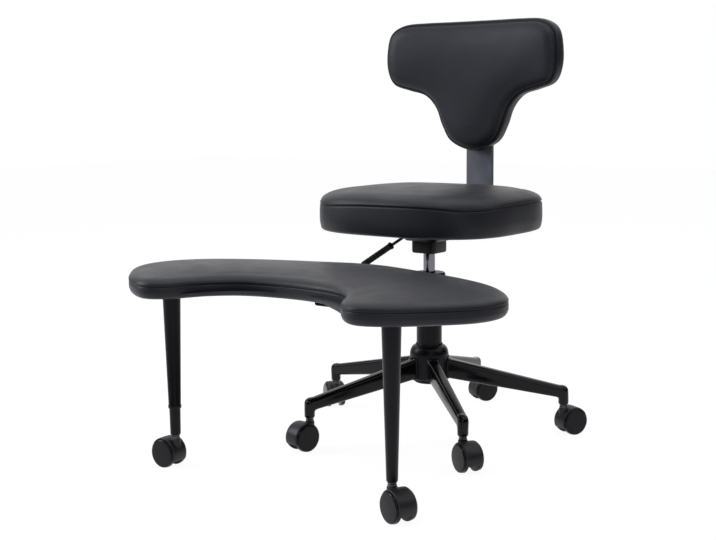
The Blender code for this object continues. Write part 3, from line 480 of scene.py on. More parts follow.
def rounded_box(width, height, corner, steps=5):
    """Outline of a rectangle with round corners, about its centre."""
    x, y = width / 2 - corner, height / 2 - corner
    outline = []
    for centre, start in (((x, y), 0), ((-x, y), 90), ((-x, -y), 180), ((x, -y), 270)):
        for step in range(steps + 1):
            angle = math.radians(start + 90 * step / steps)
            outline.append(Vector((centre[0] + corner * math.cos(angle),
                                   centre[1] + corner * math.sin(angle))))
    return outline


def dress(name, bm, material, body, stands_for=(), smooth_angle=40):
    """Make the piece, smooth it, hang it on its body and hide the imported parts that it stands for."""
    mesh = bpy.data.meshes.new(name)
    bm.to_mesh(mesh)
    bm.free()
    mesh.materials.append(material)
    mesh.shade_smooth()
    mesh.set_sharp_from_angle(angle=math.radians(smooth_angle))
    piece = bpy.data.objects.new(name, mesh)
    scene.collection.objects.link(piece)
    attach(piece, body)
    if stands_for:
        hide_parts(*stands_for)
    return piece


# %% [markdown]
# A cushion is foam under a sewn cover. Its outline is drawn once; every point knows which way leads in to
# the middle line of the pad. Rings then climb the side band, dip into the seam, roll over the edge and
# close in on the middle with a crown. The rings at the seam and under the board are sewn down, and a short
# cloth simulation with air pressure swells the panels between them, which gives the sides and the top their
# fullness. Foam holds the cover taut, so the swelling is evened out and only a trace of its puckers is
# kept.

# %% Helpers for cushions
PUFF_FRAMES = 12
SWELL_PASSES = 40
PUCKER = 0.06
RIM_INSET = 0.0115
CROWN_INSETS = (0.006, 0.013, 0.021)
EVENING_PASSES, CROWN_PASSES = 150, 8
SEAM_RING, STITCH_RING, CROWN_RING = 12, 14, 21
SEWN_RINGS = (0, 1, 2, SEAM_RING)
SEAM_REACH = 0.018
LIP_BELOW, LIP_ABOVE, LIP_EDGE, LIP_DIP = 0.0028, 0.0026, 0.0008, 0.0002
ROLL_TURNS = (20, 35, 50, 64, 77, 90)


def smooth_loop(points, steps):
    """A closed smooth curve through a few points."""
    count = len(points)
    curve = []
    for index in range(count):
        before, start, end, after = (Vector(points[(index + shift) % count]) for shift in (-1, 0, 1, 2))
        for step in range(steps):
            t = step / steps
            curve.append(0.5 * (2 * start + (end - before) * t
                                + (2 * before - 5 * start + 4 * end - after) * t ** 2
                                + (3 * start - before - 3 * end + after) * t ** 3))
    return curve


def mirrored(half):
    """The whole outline from its left half, whose ends lie on the middle."""
    return list(half) + [(-x, y) for x, y in reversed(half[1:-1])]


def nearest_on(point, line):
    """Nearest point of a broken line."""
    feet = []
    for start, end in zip(line, line[1:]):
        start, along = Vector(start), Vector(end) - Vector(start)
        share = (point - start).dot(along) / max(along.length_squared, 1e-12)
        feet.append(start + along * max(0.0, min(1.0, share)))
    return min(feet, key=lambda foot: (foot - point).length)


def ways_in(outline, line, passes=10):
    """Direction and distance from each point to the middle line, evened out along the outline."""
    ways = [nearest_on(point, line) - point for point in outline]
    for _ in range(passes):
        ways = [(ways[i - 1] + 2 * ways[i] + ways[(i + 1) % len(ways)]) / 4 for i in range(len(ways))]
    return [(way.normalized(), way.length) for way in ways]


def ladder(bm, tip, cuts):
    """Close the open end with rungs across it, so that no faces crowd together in the middle."""
    corner, level = bm.verts.layers.int["corner"], bm.verts.layers.int["ring"]
    last = max(vert[level] for vert in bm.verts)
    loop = sorted((vert for vert in bm.verts if vert[level] == last), key=lambda vert: vert[corner])
    count = len(loop)
    sides = [[loop[(tip + way * step) % count] for step in range(1, count // 2)] for way in (1, -1)]
    rails = [bm.edges.get(pair) for side in sides for pair in zip(side, side[1:])]
    bmesh.ops.bridge_loops(bm, edges=rails)
    for end, pair in ((loop[tip], [side[0] for side in sides]),
                      (loop[(tip + count // 2) % count], [side[-1] for side in sides])):
        bm.faces.new((end, *pair))
    left, right = set(sides[0]), set(sides[1])
    rungs = [edge for edge in bm.edges if left.intersection(edge.verts) and right.intersection(edge.verts)]
    bmesh.ops.subdivide_edges(bm, edges=rungs, cuts=cuts, use_grid_fill=True)
    bmesh.ops.recalc_face_normals(bm, faces=bm.faces)


def cushion_mesh(outline, line, profile, crown, crown_width, tip, cuts, lay=Vector, wave=None):
    """Rings from the (level, inset) profile, a ladder across the top, a crown, and each point laid in place.

    The wave lifts the seam at each point, and its neighbours less and less."""
    ways = ways_in(outline, line)
    wave = wave or [0.0] * len(outline)
    seam = profile[SEAM_RING][0]
    rings = []
    for level, inset in profile:
        share = max(0.0, 1 - abs(level - seam) / SEAM_REACH)
        rings.append([Vector((*(point + way * inset), level + lift * share))
                      for point, (way, _), lift in zip(outline, ways, wave)])
    top, edge = profile[-1]
    for inset in CROWN_INSETS:
        rings.append([Vector((*(point + way * (edge + inset)), top))
                      for point, (way, _) in zip(outline, ways)])
    bm = pull_rings(rings, open_end=True)
    ladder(bm, tip, cuts)
    relax(bm, EVENING_PASSES)
    border = [*outline, outline[0]]
    level = bm.verts.layers.int["ring"]
    for vert in bm.verts:
        if abs(vert.co.z - top) > 1e-6 or vert[level] == CROWN_RING - 1:
            continue
        flat = vert.co.xy
        inside = (nearest_on(flat, border) - flat).length - edge
        vert[level] = max(vert[level], CROWN_RING)
        vert.co.z = top + crown * (1 - (1 - min(1.0, max(0.0, inside) / crown_width)) ** 2)
    relax(bm, CROWN_PASSES)
    for vert in bm.verts:
        vert.co = lay(vert.co)
    bmesh.ops.recalc_face_normals(bm, faces=bm.faces)
    return bm


def edge_profile(bottom, pocket, seam, top, roll, belly, foot, groove=0.0044):
    """(level, inset) steps: pocket for the board, turned-in rim, full side, sewn seam and rolled edge."""
    side, rise = seam - bottom, top - seam
    steps = [(pocket, RIM_INSET), (bottom, RIM_INSET), (bottom, foot), (bottom + foot * 0.16, foot * 0.45),
             (bottom + foot * 0.5, foot * 0.16)]
    first = max(0.2, foot * 0.5 / side + 0.1)
    for number in range(5):
        share = first + (0.82 - first) * number / 4
        turned_in = max(0.0, foot * 0.12 * (1 - number))
        steps.append((bottom + side * share, turned_in - belly * math.sin(math.pi * share)))
    steps += [(seam - LIP_BELOW, 0.0), (seam - LIP_EDGE, LIP_DIP), (seam, groove),
              (seam + LIP_EDGE, LIP_DIP), (seam + LIP_ABOVE, 0.0)]
    for turn in ROLL_TURNS:
        angle = math.radians(turn)
        steps.append((seam + LIP_ABOVE + (rise - LIP_ABOVE) * math.sin(angle), roll * (1 - math.cos(angle))))
    return steps


def relax(bm, passes):
    """Even out the top panel, so that it carries no folds where the rings crowd together."""
    level = bm.verts.layers.int["ring"]
    crown = [vert for vert in bm.verts if vert[level] >= CROWN_RING]
    for _ in range(passes):
        bmesh.ops.smooth_vert(bm, verts=crown, factor=0.5, use_axis_x=True, use_axis_y=True, use_axis_z=True)


def puff(piece, pressure, cap):
    """Swell the panels between the sewn rings with cloth under air pressure."""
    ring = piece.data.attributes["ring"].data
    sewn = [index for index in range(len(ring)) if ring[index].value in SEWN_RINGS]
    group = piece.vertex_groups.new(name="sewn_down")
    group.add(sewn, 1.0, "REPLACE")
    cloth = piece.modifiers.new("puff", "CLOTH")
    values = cloth.settings
    values.quality = 4
    values.mass = 0.3
    values.tension_stiffness = 30
    values.compression_stiffness = 30
    values.shear_stiffness = 12
    values.bending_stiffness = 3
    values.use_pressure = True
    values.uniform_pressure_force = pressure
    values.vertex_group_mass = group.name
    values.effector_weights.gravity = 0
    cloth.point_cache.frame_start = 1
    cloth.point_cache.frame_end = PUFF_FRAMES
    for number in range(1, PUFF_FRAMES + 1):
        scene.frame_set(number)
    shaped = piece.evaluated_get(bpy.context.evaluated_depsgraph_get())
    vertices = piece.data.vertices
    raw = [(target.co - vertex.co).dot(vertex.normal)
           for vertex, target in zip(vertices, shaped.data.vertices)]
    piece.modifiers.remove(cloth)
    scene.frame_set(1)
    near = [[] for _ in vertices]
    for edge in piece.data.edges:
        start, end = edge.vertices
        near[start].append(end)
        near[end].append(start)
    held = set(sewn)
    swell = list(raw)
    for _ in range(SWELL_PASSES):
        beside = [sum(swell[other] for other in others) / len(others) for others in near]
        swell = [0.0 if index in held else (own + beside[index]) / 2 for index, own in enumerate(swell)]
    full = [cap * math.tanh((smooth + PUCKER * (rough - smooth)) / cap) for smooth, rough in zip(swell, raw)]
    for vertex, normal, step in zip(vertices, [vertex.normal.copy() for vertex in vertices], full):
        vertex.co += normal * step
    print(piece.name, "swelled by up to", round(max(full) * 1000, 1), "mm")


def even_steps(points, pitch):
    """Points, directions and indices at an even pitch along a closed line."""
    lengths = [(points[(i + 1) % len(points)] - points[i]).length for i in range(len(points))]
    count = round(sum(lengths) / pitch)
    found, index, passed = [], 0, 0.0
    for number in range(count):
        target = sum(lengths) * number / count
        while passed + lengths[index] < target:
            passed += lengths[index]
            index += 1
        start, end = points[index], points[(index + 1) % len(points)]
        share = (target - passed) / lengths[index]
        found.append((start.lerp(end, share), (end - start).normalized(), index))
    return found


def stitch_row(name, cushion, body, pitch=0.0048, length=0.0034, thickness=0.00032):
    """Short stitches laid along the ring just above the seam."""
    mesh = cushion.data
    ring, corner = mesh.attributes["ring"].data, mesh.attributes["corner"].data
    row = sorted((corner[index].value, index) for index in range(len(mesh.vertices))
                 if ring[index].value == STITCH_RING)
    points = [mesh.vertices[index].co.copy() for _, index in row]
    normals = [mesh.vertices[index].normal.copy() for _, index in row]
    bm = bmesh.new()
    for point, along, index in even_steps(points, pitch):
        out = normals[index]
        across = out.cross(along).normalized()
        matrix = Matrix((along * length / 2, across * thickness, out * thickness)).transposed().to_4x4()
        matrix.translation = point + out * thickness * 0.4
        bmesh.ops.create_uvsphere(bm, u_segments=6, v_segments=5, radius=1.0, matrix=matrix)
    return dress(name, bm, thread, body)


def upholster(name, bm, body, node, pressure, cap, levels=1):
    """Swell and smooth a cushion, and sew its stitches."""
    cushion = dress(name, bm, leather, body, (node,), 180)
    puff(cushion, pressure, cap)
    stitches = stitch_row(name + "_stitches", cushion, body)
    smooth = cushion.modifiers.new("round", "SUBSURF")
    smooth.levels = smooth.render_levels = levels
    print(name, len(cushion.data.polygons), "faces before rounding,",
          len(stitches.data.polygons), "in stitches")


# %% [markdown]
# The seat is a squared oval. Its side band is tall and full, the seam runs round just under the rolled
# edge, and the top is a broad low crown. A superellipse gives the outline in one line of arithmetic. The
# cover is pulled tighter at the corners, so the seam dips a little there and rises along the sides.

# %% Seat cushion
FIT = 0.0003
SEAT_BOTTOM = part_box("seat_board")[0].z - FIT
SEAT_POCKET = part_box("seat_board")[1].z + FIT
SEAT_SEAM = SEAT_BOTTOM + 0.0543
SEAT_EDGE_TOP = SEAT_SEAM + 0.0220
SEAT_CROWN = 0.0065
SEAT_CENTRE_Y = 0.005
SEAT_HALF = (0.2025, 0.1795)
SEAT_POWER = 2 / 3
SEAT_POINTS = 104
SEAM_WAVE, SEAM_PHASE = 0.0032, math.radians(8)


def signed_power(value, power):
    return math.copysign(abs(value) ** power, value)


seat_outline = []
for number in range(SEAT_POINTS):
    turn = math.tau * number / SEAT_POINTS
    seat_outline.append(Vector((signed_power(math.cos(turn), SEAT_POWER) * SEAT_HALF[0],
                                signed_power(math.sin(turn), SEAT_POWER) * SEAT_HALF[1] + SEAT_CENTRE_Y)))
seat_line = ((-0.03, SEAT_CENTRE_Y), (0.03, SEAT_CENTRE_Y))
seat_profile = edge_profile(SEAT_BOTTOM, SEAT_POCKET, SEAT_SEAM, SEAT_EDGE_TOP,
                            roll=0.047, belly=0.001, foot=0.010)
seat_wave = [SEAM_WAVE * math.cos(4 * (math.tau * number / SEAT_POINTS - SEAM_PHASE))
             for number in range(SEAT_POINTS)]
seat_mesh = cushion_mesh(seat_outline, seat_line, seat_profile, SEAT_CROWN,
                         crown_width=0.13, tip=0, cuts=15, wave=seat_wave)
upholster("seat_upholstery", seat_mesh, "seat", "seat_cushion", pressure=4.0, cap=0.004)

# %% [markdown]
# The leg rest is a boomerang with a notch for the feet between its lobes. The same helpers work, with the
# middle line bent like the pad. Its seam lies half way up the edge, and the side below it turns well under
# the board.

# %% Leg rest cushion
REST_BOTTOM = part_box("rest_board")[0].z - FIT
REST_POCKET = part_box("rest_board")[1].z + FIT
REST_SEAM = REST_BOTTOM + 0.0225
REST_EDGE_TOP = REST_BOTTOM + 0.0355
REST_CROWN = 0.0065
REST_HALF_OUTLINE = (
    (0.000, -0.171), (0.120, -0.199), (0.230, -0.234), (0.325, -0.285), (0.379, -0.358), (0.374, -0.427),
    (0.328, -0.486), (0.276, -0.531), (0.223, -0.553), (0.183, -0.527), (0.150, -0.470), (0.096, -0.431),
    (0.000, -0.417),
)
REST_LINE = ((-0.27, -0.418), (-0.14, -0.333), (0.0, -0.298), (0.14, -0.333), (0.27, -0.418))
rest_outline = smooth_loop(mirrored(REST_HALF_OUTLINE), 5)
rest_profile = edge_profile(REST_BOTTOM, REST_POCKET, REST_SEAM, REST_EDGE_TOP,
                            roll=0.024, belly=0.0002, foot=0.011, groove=0.003)
rest_mesh = cushion_mesh(rest_outline, REST_LINE, rest_profile, REST_CROWN,
                         crown_width=0.08, tip=len(rest_outline) // 4, cuts=11)
upholster("rest_upholstery", rest_mesh, "leg_rest", "rest_pad", pressure=4.0, cap=0.003)

# %% [markdown]
# The back is a T whose wings curve forward round the sitter. It is drawn flat, as a pattern cutter would,
# and then each point is laid on the curve: the further from the middle, the further forward. Its seam sits
# on the front edge, between two small lips, where the front panel is sewn to the boxing.

# %% Back cushion
BACK_TOP = 0.8115
BAR_THICKNESS = 0.008
BACK_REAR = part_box("back_bar")[1].y - BAR_THICKNESS - FIT
BACK_CURVE = 0.016
BACK_HALF_WIDTH = 0.201
BACK_CROWN = 0.0030
BACK_PROFILE = (
    # depth from the rear, inset: pocket and rim
    (0.0103, RIM_INSET), (0.0003, RIM_INSET), (0.0003, 0.0070), (0.0009, 0.0034), (0.0030, 0.0012),
    # boxing
    (0.0070, 0.0004), (0.0110, 0.0000), (0.0150, 0.0000), (0.0190, 0.0000), (0.0225, 0.0002),
    # seam between two lips
    (0.0258, 0.0010), (0.0282, 0.0036), (0.0250, 0.0058), (0.0292, 0.0068), (0.0316, 0.0075),
    # front panel
    (0.0338, 0.0095), (0.0357, 0.0128), (0.0372, 0.0167), (0.0382, 0.0211), (0.0388, 0.0254),
    (0.0391, 0.0300),
)
BACK_HALF_OUTLINE = (
    (0.000, 0.000), (0.056, 0.000), (0.112, 0.000), (0.160, 0.003), (0.191, 0.0205), (0.201, 0.0565),
    (0.200, 0.0955), (0.185, 0.1255), (0.150, 0.138), (0.112, 0.149), (0.087, 0.175), (0.0735, 0.209),
    (0.051, 0.2435), (0.000, 0.261),
)
BACK_LINE = ((-0.13, 0.069), (0.0, 0.074), (0.0, 0.189), (0.0, 0.074), (0.13, 0.069))


def stand_up(point):
    """From the flat pattern of (x, drop, depth) to the curved back."""
    x, drop, depth = point
    return Vector((x, BACK_REAR - depth - BACK_CURVE * (x / BACK_HALF_WIDTH) ** 2, BACK_TOP - drop))


back_outline = smooth_loop(mirrored(BACK_HALF_OUTLINE), 6)
back_mesh = cushion_mesh(back_outline, BACK_LINE, BACK_PROFILE, BACK_CROWN,
                         crown_width=0.05, tip=len(back_outline) // 2, cuts=13, lay=stand_up)
upholster("back_upholstery", back_mesh, "seat", "back_cushion", pressure=3.0, cap=0.004)

# %% [markdown]
# The base is five arms welded to a hub. The hub is turned: a narrow foot, a straight barrel and a domed
# shoulder that ends in a thin lip round the column. Turning it from a rounded profile gives the long soft
# highlights of a real casting.

# %% Hub, column and rod
HUB_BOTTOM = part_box("base_hub")[0].z
HUB_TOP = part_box("base_hub")[1].z
HUB_RADIUS = 0.0385
FOOT_RADIUS = 0.030
SHOULDER = 0.1545
COLUMN_RADIUS = 0.025
ROD_RADIUS = 0.0115
RUNNING_FIT = 0.0006


def quarter(centre, radius, start, end, steps=6):
    """Points of an arc in a profile."""
    return [(centre[0] + radius * math.cos(math.radians(start + (end - start) * step / steps)),
             centre[1] + radius * math.sin(math.radians(start + (end - start) * step / steps)))
            for step in range(steps + 1)]


def hub_profile():
    """Bore, rounded foot, barrel, dome and lip."""
    dome = [(HUB_RADIUS - 0.0118 * (1 - math.cos(math.radians(turn))),
             SHOULDER + (HUB_TOP - SHOULDER) * math.sin(math.radians(turn))) for turn in range(0, 80, 8)]
    bore, lip = COLUMN_RADIUS + FIT, COLUMN_RADIUS + 0.0017
    return [(bore, HUB_BOTTOM), *quarter((FOOT_RADIUS - 0.004, HUB_BOTTOM + 0.004), 0.004, -90, 0),
            *quarter((FOOT_RADIUS + 0.002, HUB_BOTTOM + 0.007), 0.002, 180, 90, 4),
            *quarter((HUB_RADIUS - 0.003, HUB_BOTTOM + 0.0115), 0.003, -75, 0, 5), *dome,
            (lip, HUB_TOP - 0.0002), (lip, HUB_TOP + 0.003), (lip - 0.0006, HUB_TOP + 0.0038),
            (bore, HUB_TOP + 0.0038)]


def column_profile():
    """Closed foot, straight tube, stop ring and open top with the rod's bore."""
    low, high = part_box("gas_column")[0].z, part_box("gas_column")[1].z
    ring_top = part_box("swivel_collar")[0].z - FIT
    ring, bore, bore_floor = COLUMN_RADIUS + 0.003, ROD_RADIUS + RUNNING_FIT, low + 0.02
    return [(0.0, low), (COLUMN_RADIUS - 0.001, low), (COLUMN_RADIUS, low + 0.001),
            (COLUMN_RADIUS, ring_top - 0.007),
            (ring - 0.0005, ring_top - 0.0045), (ring, ring_top - 0.004), (ring, ring_top - 0.0006),
            (ring - 0.0006, ring_top), (COLUMN_RADIUS, ring_top), (COLUMN_RADIUS, high - 0.001),
            (COLUMN_RADIUS - 0.001, high), (bore, high), (bore, bore_floor), (0.0, bore_floor)]


def rod_profile():
    """Rod with a chamfered top and the bore for the release button."""
    low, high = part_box("gas_rod")[0].z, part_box("gas_rod")[1].z
    bore_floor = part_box("release_button")[0].z - 0.008
    return [(0.0, low), (ROD_RADIUS - 0.001, low), (ROD_RADIUS, low + 0.001), (ROD_RADIUS, high - 0.0015),
            (ROD_RADIUS - 0.0015, high), (0.0043, high), (0.0043, bore_floor), (0.0, bore_floor)]


def button_profile():
    low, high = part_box("release_button")[0].z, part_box("release_button")[1].z
    return [(0.0, low), (0.004, low), *quarter((0.003, high - 0.001), 0.001, 0, 90, 4), (0.0, high)]


dress("hub", turn_profile(hub_profile(), steps=96, ring=True), satin_black, "base",
      ("base_hub",))
dress("column", turn_profile(column_profile(), steps=96), satin_black, "base", ("gas_column",))
dress("piston_rod", turn_profile(rod_profile()), rod_chrome, "piston", ("gas_rod",))
dress("valve_button", turn_profile(button_profile(), steps=32), plated, "button",
      ("release_button",))

# %% [markdown]
# Each arm is a rectangular tube with well-rounded corners that tapers outwards, then turns down into a
# round socket for its caster. It is pulled through a row of sections: the bend is a fan of sections that
# share an inner corner, and the socket ends in a real bore. One arm is made and copied round the hub.

# %% Arms of the base
ARM_COUNT = 5
ARM_REACH = 0.264
FIRST_ARM = math.radians(-43.7)
SOCKET = 0.010
CASTER_TOP = 0.061502
BORE, BORE_TOP = 0.0062, CASTER_TOP + 0.0245
ARM_CORNER = 0.0068
ARM_TIP_TOP = 0.0985
ARM_TIP_HEIGHT = 0.024
ARM_ROOT_BOTTOM, ARM_ROOT_TOP = 0.1085, 0.1475
ARM_ROOT_WIDTH, ARM_FLARE = 0.024, 0.005
INNER_BEND = 0.004
ELBOW = 0.0275


def arm_stations():
    """Inner corner (x, z), turn, height, width and corner radius of each section."""
    inner = ARM_REACH - SOCKET
    tip_bottom = ARM_TIP_TOP - ARM_TIP_HEIGHT

    def slope(x, root, tip):
        return root + (tip - root) * (x - HUB_RADIUS) / (inner - HUB_RADIUS)

    stations = []
    for x, flare in ((FOOT_RADIUS, 1.0), (HUB_RADIUS, 1.0), (HUB_RADIUS + 0.0015, 0.55),
                     (HUB_RADIUS + 0.0035, 0.18), (HUB_RADIUS + 0.006, 0.0), (0.11, 0.0), (0.18, 0.0),
                     (inner - INNER_BEND, 0.0)):
        bottom = slope(x, ARM_ROOT_BOTTOM, tip_bottom)
        top = slope(x, ARM_ROOT_TOP, ARM_TIP_TOP) + ARM_FLARE * flare
        stations.append(((x, bottom), 0.0, top - bottom, slope(x, ARM_ROOT_WIDTH, 2 * SOCKET), ARM_CORNER))
    for degrees in range(10, 91, 8):
        turn = math.radians(degrees)
        height = min(ARM_TIP_HEIGHT / max(math.cos(turn), 0.1), 2 * SOCKET / math.sin(turn), ELBOW)
        corner = ARM_CORNER + (SOCKET - ARM_CORNER) * degrees / 90
        start = (inner - INNER_BEND * (1 - math.sin(turn)), tip_bottom - INNER_BEND * (1 - math.cos(turn)))
        stations.append((start, turn, height, 2 * SOCKET, corner))
    down = math.pi / 2
    for level, radius in ((CASTER_TOP + 0.0012, SOCKET), (CASTER_TOP + 0.0003, SOCKET - 0.0005),
                          (CASTER_TOP, SOCKET - 0.0014), (CASTER_TOP, BORE), (BORE_TOP, BORE)):
        stations.append(((ARM_REACH - radius, level), down, 2 * radius, 2 * radius, radius))
    return stations


def arm_rings():
    rings = []
    for (x, z), turn, height, width, corner in arm_stations():
        rise_way = Vector((math.sin(turn), 0.0, math.cos(turn)))
        centre = Vector((x, 0.0, z)) + rise_way * height / 2
        section = rounded_box(width, height, min(corner, width / 2 - 1e-5, height / 2 - 1e-5))
        rings.append([centre + Vector((0.0, across, 0.0)) + rise_way * rise for across, rise in section])
    return rings


def copy_placed(bm, matrix):
    """A copy of a mesh, set in place."""
    copy = bm.copy()
    bmesh.ops.transform(copy, matrix=matrix, verts=copy.verts)
    return copy


arm = pull_rings(arm_rings())
arm_turns = [Matrix.Rotation(FIRST_ARM + math.tau * number / ARM_COUNT, 4, "Z")
             for number in range(ARM_COUNT)]
for number, turn in enumerate(arm_turns, 1):
    dress(f"arm_{number}", copy_placed(arm, turn), gloss_black, "base",
          (f"base_arm_{number}",))
print("arm", len(arm.faces), "faces, five times")
arm.free()

# %% [markdown]
# The arms are welded on, and the paint goes over the weld. A bead is a rope of small overlapping ripples
# that follows the line where the arm meets the barrel. A closed curve with a varying radius makes one
# quickly, and the curve is turned into a mesh before it is placed.

# %% Weld beads
BEAD = 0.0019
BEAD_RIPPLE = 0.10
WELD_TOP, WELD_WIDTH, WELD_PITCH = 0.1515, 0.0246, 0.0012


def bead_mesh(points, radius, swell):
    """A closed round bead along points, as a mesh; swell scales the radius at each point."""
    curve = bpy.data.curves.new("bead", "CURVE")
    curve.dimensions = "3D"
    curve.bevel_depth = radius
    curve.bevel_resolution = 2
    curve.use_fill_caps = False
    line = curve.splines.new("POLY")
    line.points.add(len(points) - 1)
    for number, point in enumerate(points):
        line.points[number].co = (*point, 1.0)
        line.points[number].radius = swell[number]
    line.use_cyclic_u = True
    holder = bpy.data.objects.new("bead", curve)
    scene.collection.objects.link(holder)
    mesh = bpy.data.meshes.new_from_object(holder.evaluated_get(bpy.context.evaluated_depsgraph_get()))
    bm = bmesh.new()
    bm.from_mesh(mesh)
    bpy.data.objects.remove(holder)
    bpy.data.curves.remove(curve)
    bpy.data.meshes.remove(mesh)
    bmesh.ops.remove_doubles(bm, verts=bm.verts, dist=1e-6)
    bmesh.ops.recalc_face_normals(bm, faces=bm.faces)
    return bm


def weld_line():
    """Where the flared root of an arm meets the barrel."""
    middle = (ARM_ROOT_BOTTOM + WELD_TOP) / 2
    section = [Vector((across, rise + middle, 0))
               for across, rise in rounded_box(WELD_WIDTH, WELD_TOP - ARM_ROOT_BOTTOM, ARM_CORNER, 8)]
    points = [point for point, _, _ in even_steps(section, WELD_PITCH)]
    return [Vector((math.sqrt(HUB_RADIUS ** 2 - point.x ** 2) + 0.0002, point.x, point.y))
            for point in points]


weld_points = weld_line()
ripple = [1 + BEAD_RIPPLE * math.sin(number * math.tau / 3) for number in range(len(weld_points))]
bead = bead_mesh(weld_points, BEAD, ripple)
for number, turn in enumerate(arm_turns, 1):
    dress(f"weld_{number}", copy_placed(bead, turn), gloss_black, "base")
print("weld line of", len(weld_points), "points")
bead.free()

# %% [markdown]
# The leg rest turns on a collar round the top of the column. A flat tube runs from the collar forward under
# the board. The legs are tapered tubes; the one on the sitter's right is in two parts, with a lip where the
# slimmer foot plugs into it.

# %% Collar, carrying arm and legs
LEG_X, LEG_Y = 0.238, -0.470
LEG_TOP_RADIUS, LEG_FOOT_RADIUS = 0.016, 0.0094
LEG_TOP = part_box("rest_leg_left")[1].z
LEG_STEP_Z = 0.1095
CARRIER_WIDTH, CARRIER_HEIGHT = 0.050, 0.022
CARRIER_WALL, CARRIER_CORNER = 0.0025, 0.004
CARRIER_BACK, CARRIER_FRONT = -0.0295, -0.33


def leg_radius(height):
    rise, length = height - CASTER_TOP, LEG_TOP - CASTER_TOP
    return LEG_FOOT_RADIUS + (LEG_TOP_RADIUS - LEG_FOOT_RADIUS) * rise / length


def collar_profile():
    low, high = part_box("swivel_collar")[0].z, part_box("swivel_collar")[1].z
    radius, bore, rod_hole = 0.032, COLUMN_RADIUS + RUNNING_FIT, 0.0135
    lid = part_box("gas_column")[1].z + RUNNING_FIT
    return [(bore, low), (radius - 0.001, low), (radius, low + 0.001), (radius, low + 0.012),
            (radius - 0.0007, low + 0.0125), (radius - 0.0007, low + 0.0137), (radius, low + 0.0142),
            *quarter((radius - 0.004, high - 0.004), 0.004, 0, 90),
            (rod_hole, high), (rod_hole, lid), (bore, lid)]


def leg_profile(low, low_radius, high):
    """A taper with rounded ends and the caster's bore."""
    high_radius = leg_radius(high)
    return [(0.0, BORE_TOP), (BORE, BORE_TOP), (BORE, low), (low_radius - 0.001, low),
            (low_radius - 0.0003, low + 0.0003), (low_radius, low + 0.001), (high_radius, high - 0.001),
            (high_radius - 0.001, high), (0.0, high)]


def upper_leg_profile():
    """The stepped leg's upper tube, with a rolled lip and the spigot's bore."""
    high_radius, step_radius = leg_radius(LEG_TOP), leg_radius(LEG_STEP_Z)
    lip, bore, bore_top = step_radius + 0.0012, 0.0071, LEG_STEP_Z + 0.0353
    return [(0.0, LEG_TOP), (high_radius - 0.001, LEG_TOP), (high_radius, LEG_TOP - 0.001),
            (step_radius + 0.0004, LEG_STEP_Z + 0.0075), (lip, LEG_STEP_Z + 0.0055),
            (lip, LEG_STEP_Z + 0.0012), (lip - 0.0005, LEG_STEP_Z + 0.0003), (lip - 0.0012, LEG_STEP_Z),
            (bore, LEG_STEP_Z), (bore, bore_top), (0.0, bore_top)]


def foot_profile():
    """The slimmer foot, with its spigot above."""
    top = LEG_STEP_Z - FIT
    spigot, spigot_top = 0.0068, top + 0.035
    return [(0.0, BORE_TOP), (BORE, BORE_TOP), (BORE, CASTER_TOP), (LEG_FOOT_RADIUS - 0.001, CASTER_TOP),
            (LEG_FOOT_RADIUS, CASTER_TOP + 0.001), (leg_radius(top) - 0.0006, top), (spigot, top),
            (spigot, spigot_top), (0.0, spigot_top)]


def carrier_rings():
    """A flat tube along Y, open at its front end."""
    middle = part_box("carrier_arm")[1].z - CARRIER_HEIGHT / 2
    outer = rounded_box(CARRIER_WIDTH, CARRIER_HEIGHT, CARRIER_CORNER)
    inner = rounded_box(CARRIER_WIDTH - 2 * CARRIER_WALL, CARRIER_HEIGHT - 2 * CARRIER_WALL,
                        CARRIER_CORNER - CARRIER_WALL)
    stations = ((outer, CARRIER_BACK), (outer, CARRIER_FRONT), (inner, CARRIER_FRONT),
                (inner, CARRIER_BACK - 0.01))
    return [[Vector((across, y, middle + rise)) for across, rise in outline] for outline, y in stations]


left_place, right_place = Matrix.Translation((LEG_X, LEG_Y, 0)), Matrix.Translation((-LEG_X, LEG_Y, 0))
dress("collar", turn_profile(collar_profile(), steps=96, ring=True), satin_black, "leg_rest",
      ("swivel_collar",))
dress("carrying_tube", pull_rings(carrier_rings()), satin_black, "leg_rest",
      ("carrier_arm",), 30)
dress("leg_left", turn_profile(leg_profile(CASTER_TOP, LEG_FOOT_RADIUS, LEG_TOP), left_place), satin_black,
      "leg_rest", ("rest_leg_left",))
dress("leg_right", turn_profile(upper_leg_profile(), right_place), satin_black, "leg_rest",
      ("rest_leg_right",))
dress("foot_right", turn_profile(foot_profile(), right_place), satin_black, "leg_rest",
      ("rest_foot_right",))
print("legs", round(LEG_TOP - CASTER_TOP, 4), "m long")

# %% [markdown]
# A twin-wheel caster is the most worked piece of the chair. A hood of thin moulded nylon runs over both
# wheels. Its edges are thickened, and the disc of each wheel stands out past them. A web stands between the
# wheels and carries the axle, and a boss on top takes the stem. The shell is a section pulled round the
# axle in small turns; web and boss are joined to it with a Boolean, so that the moulding is one closed
# solid.

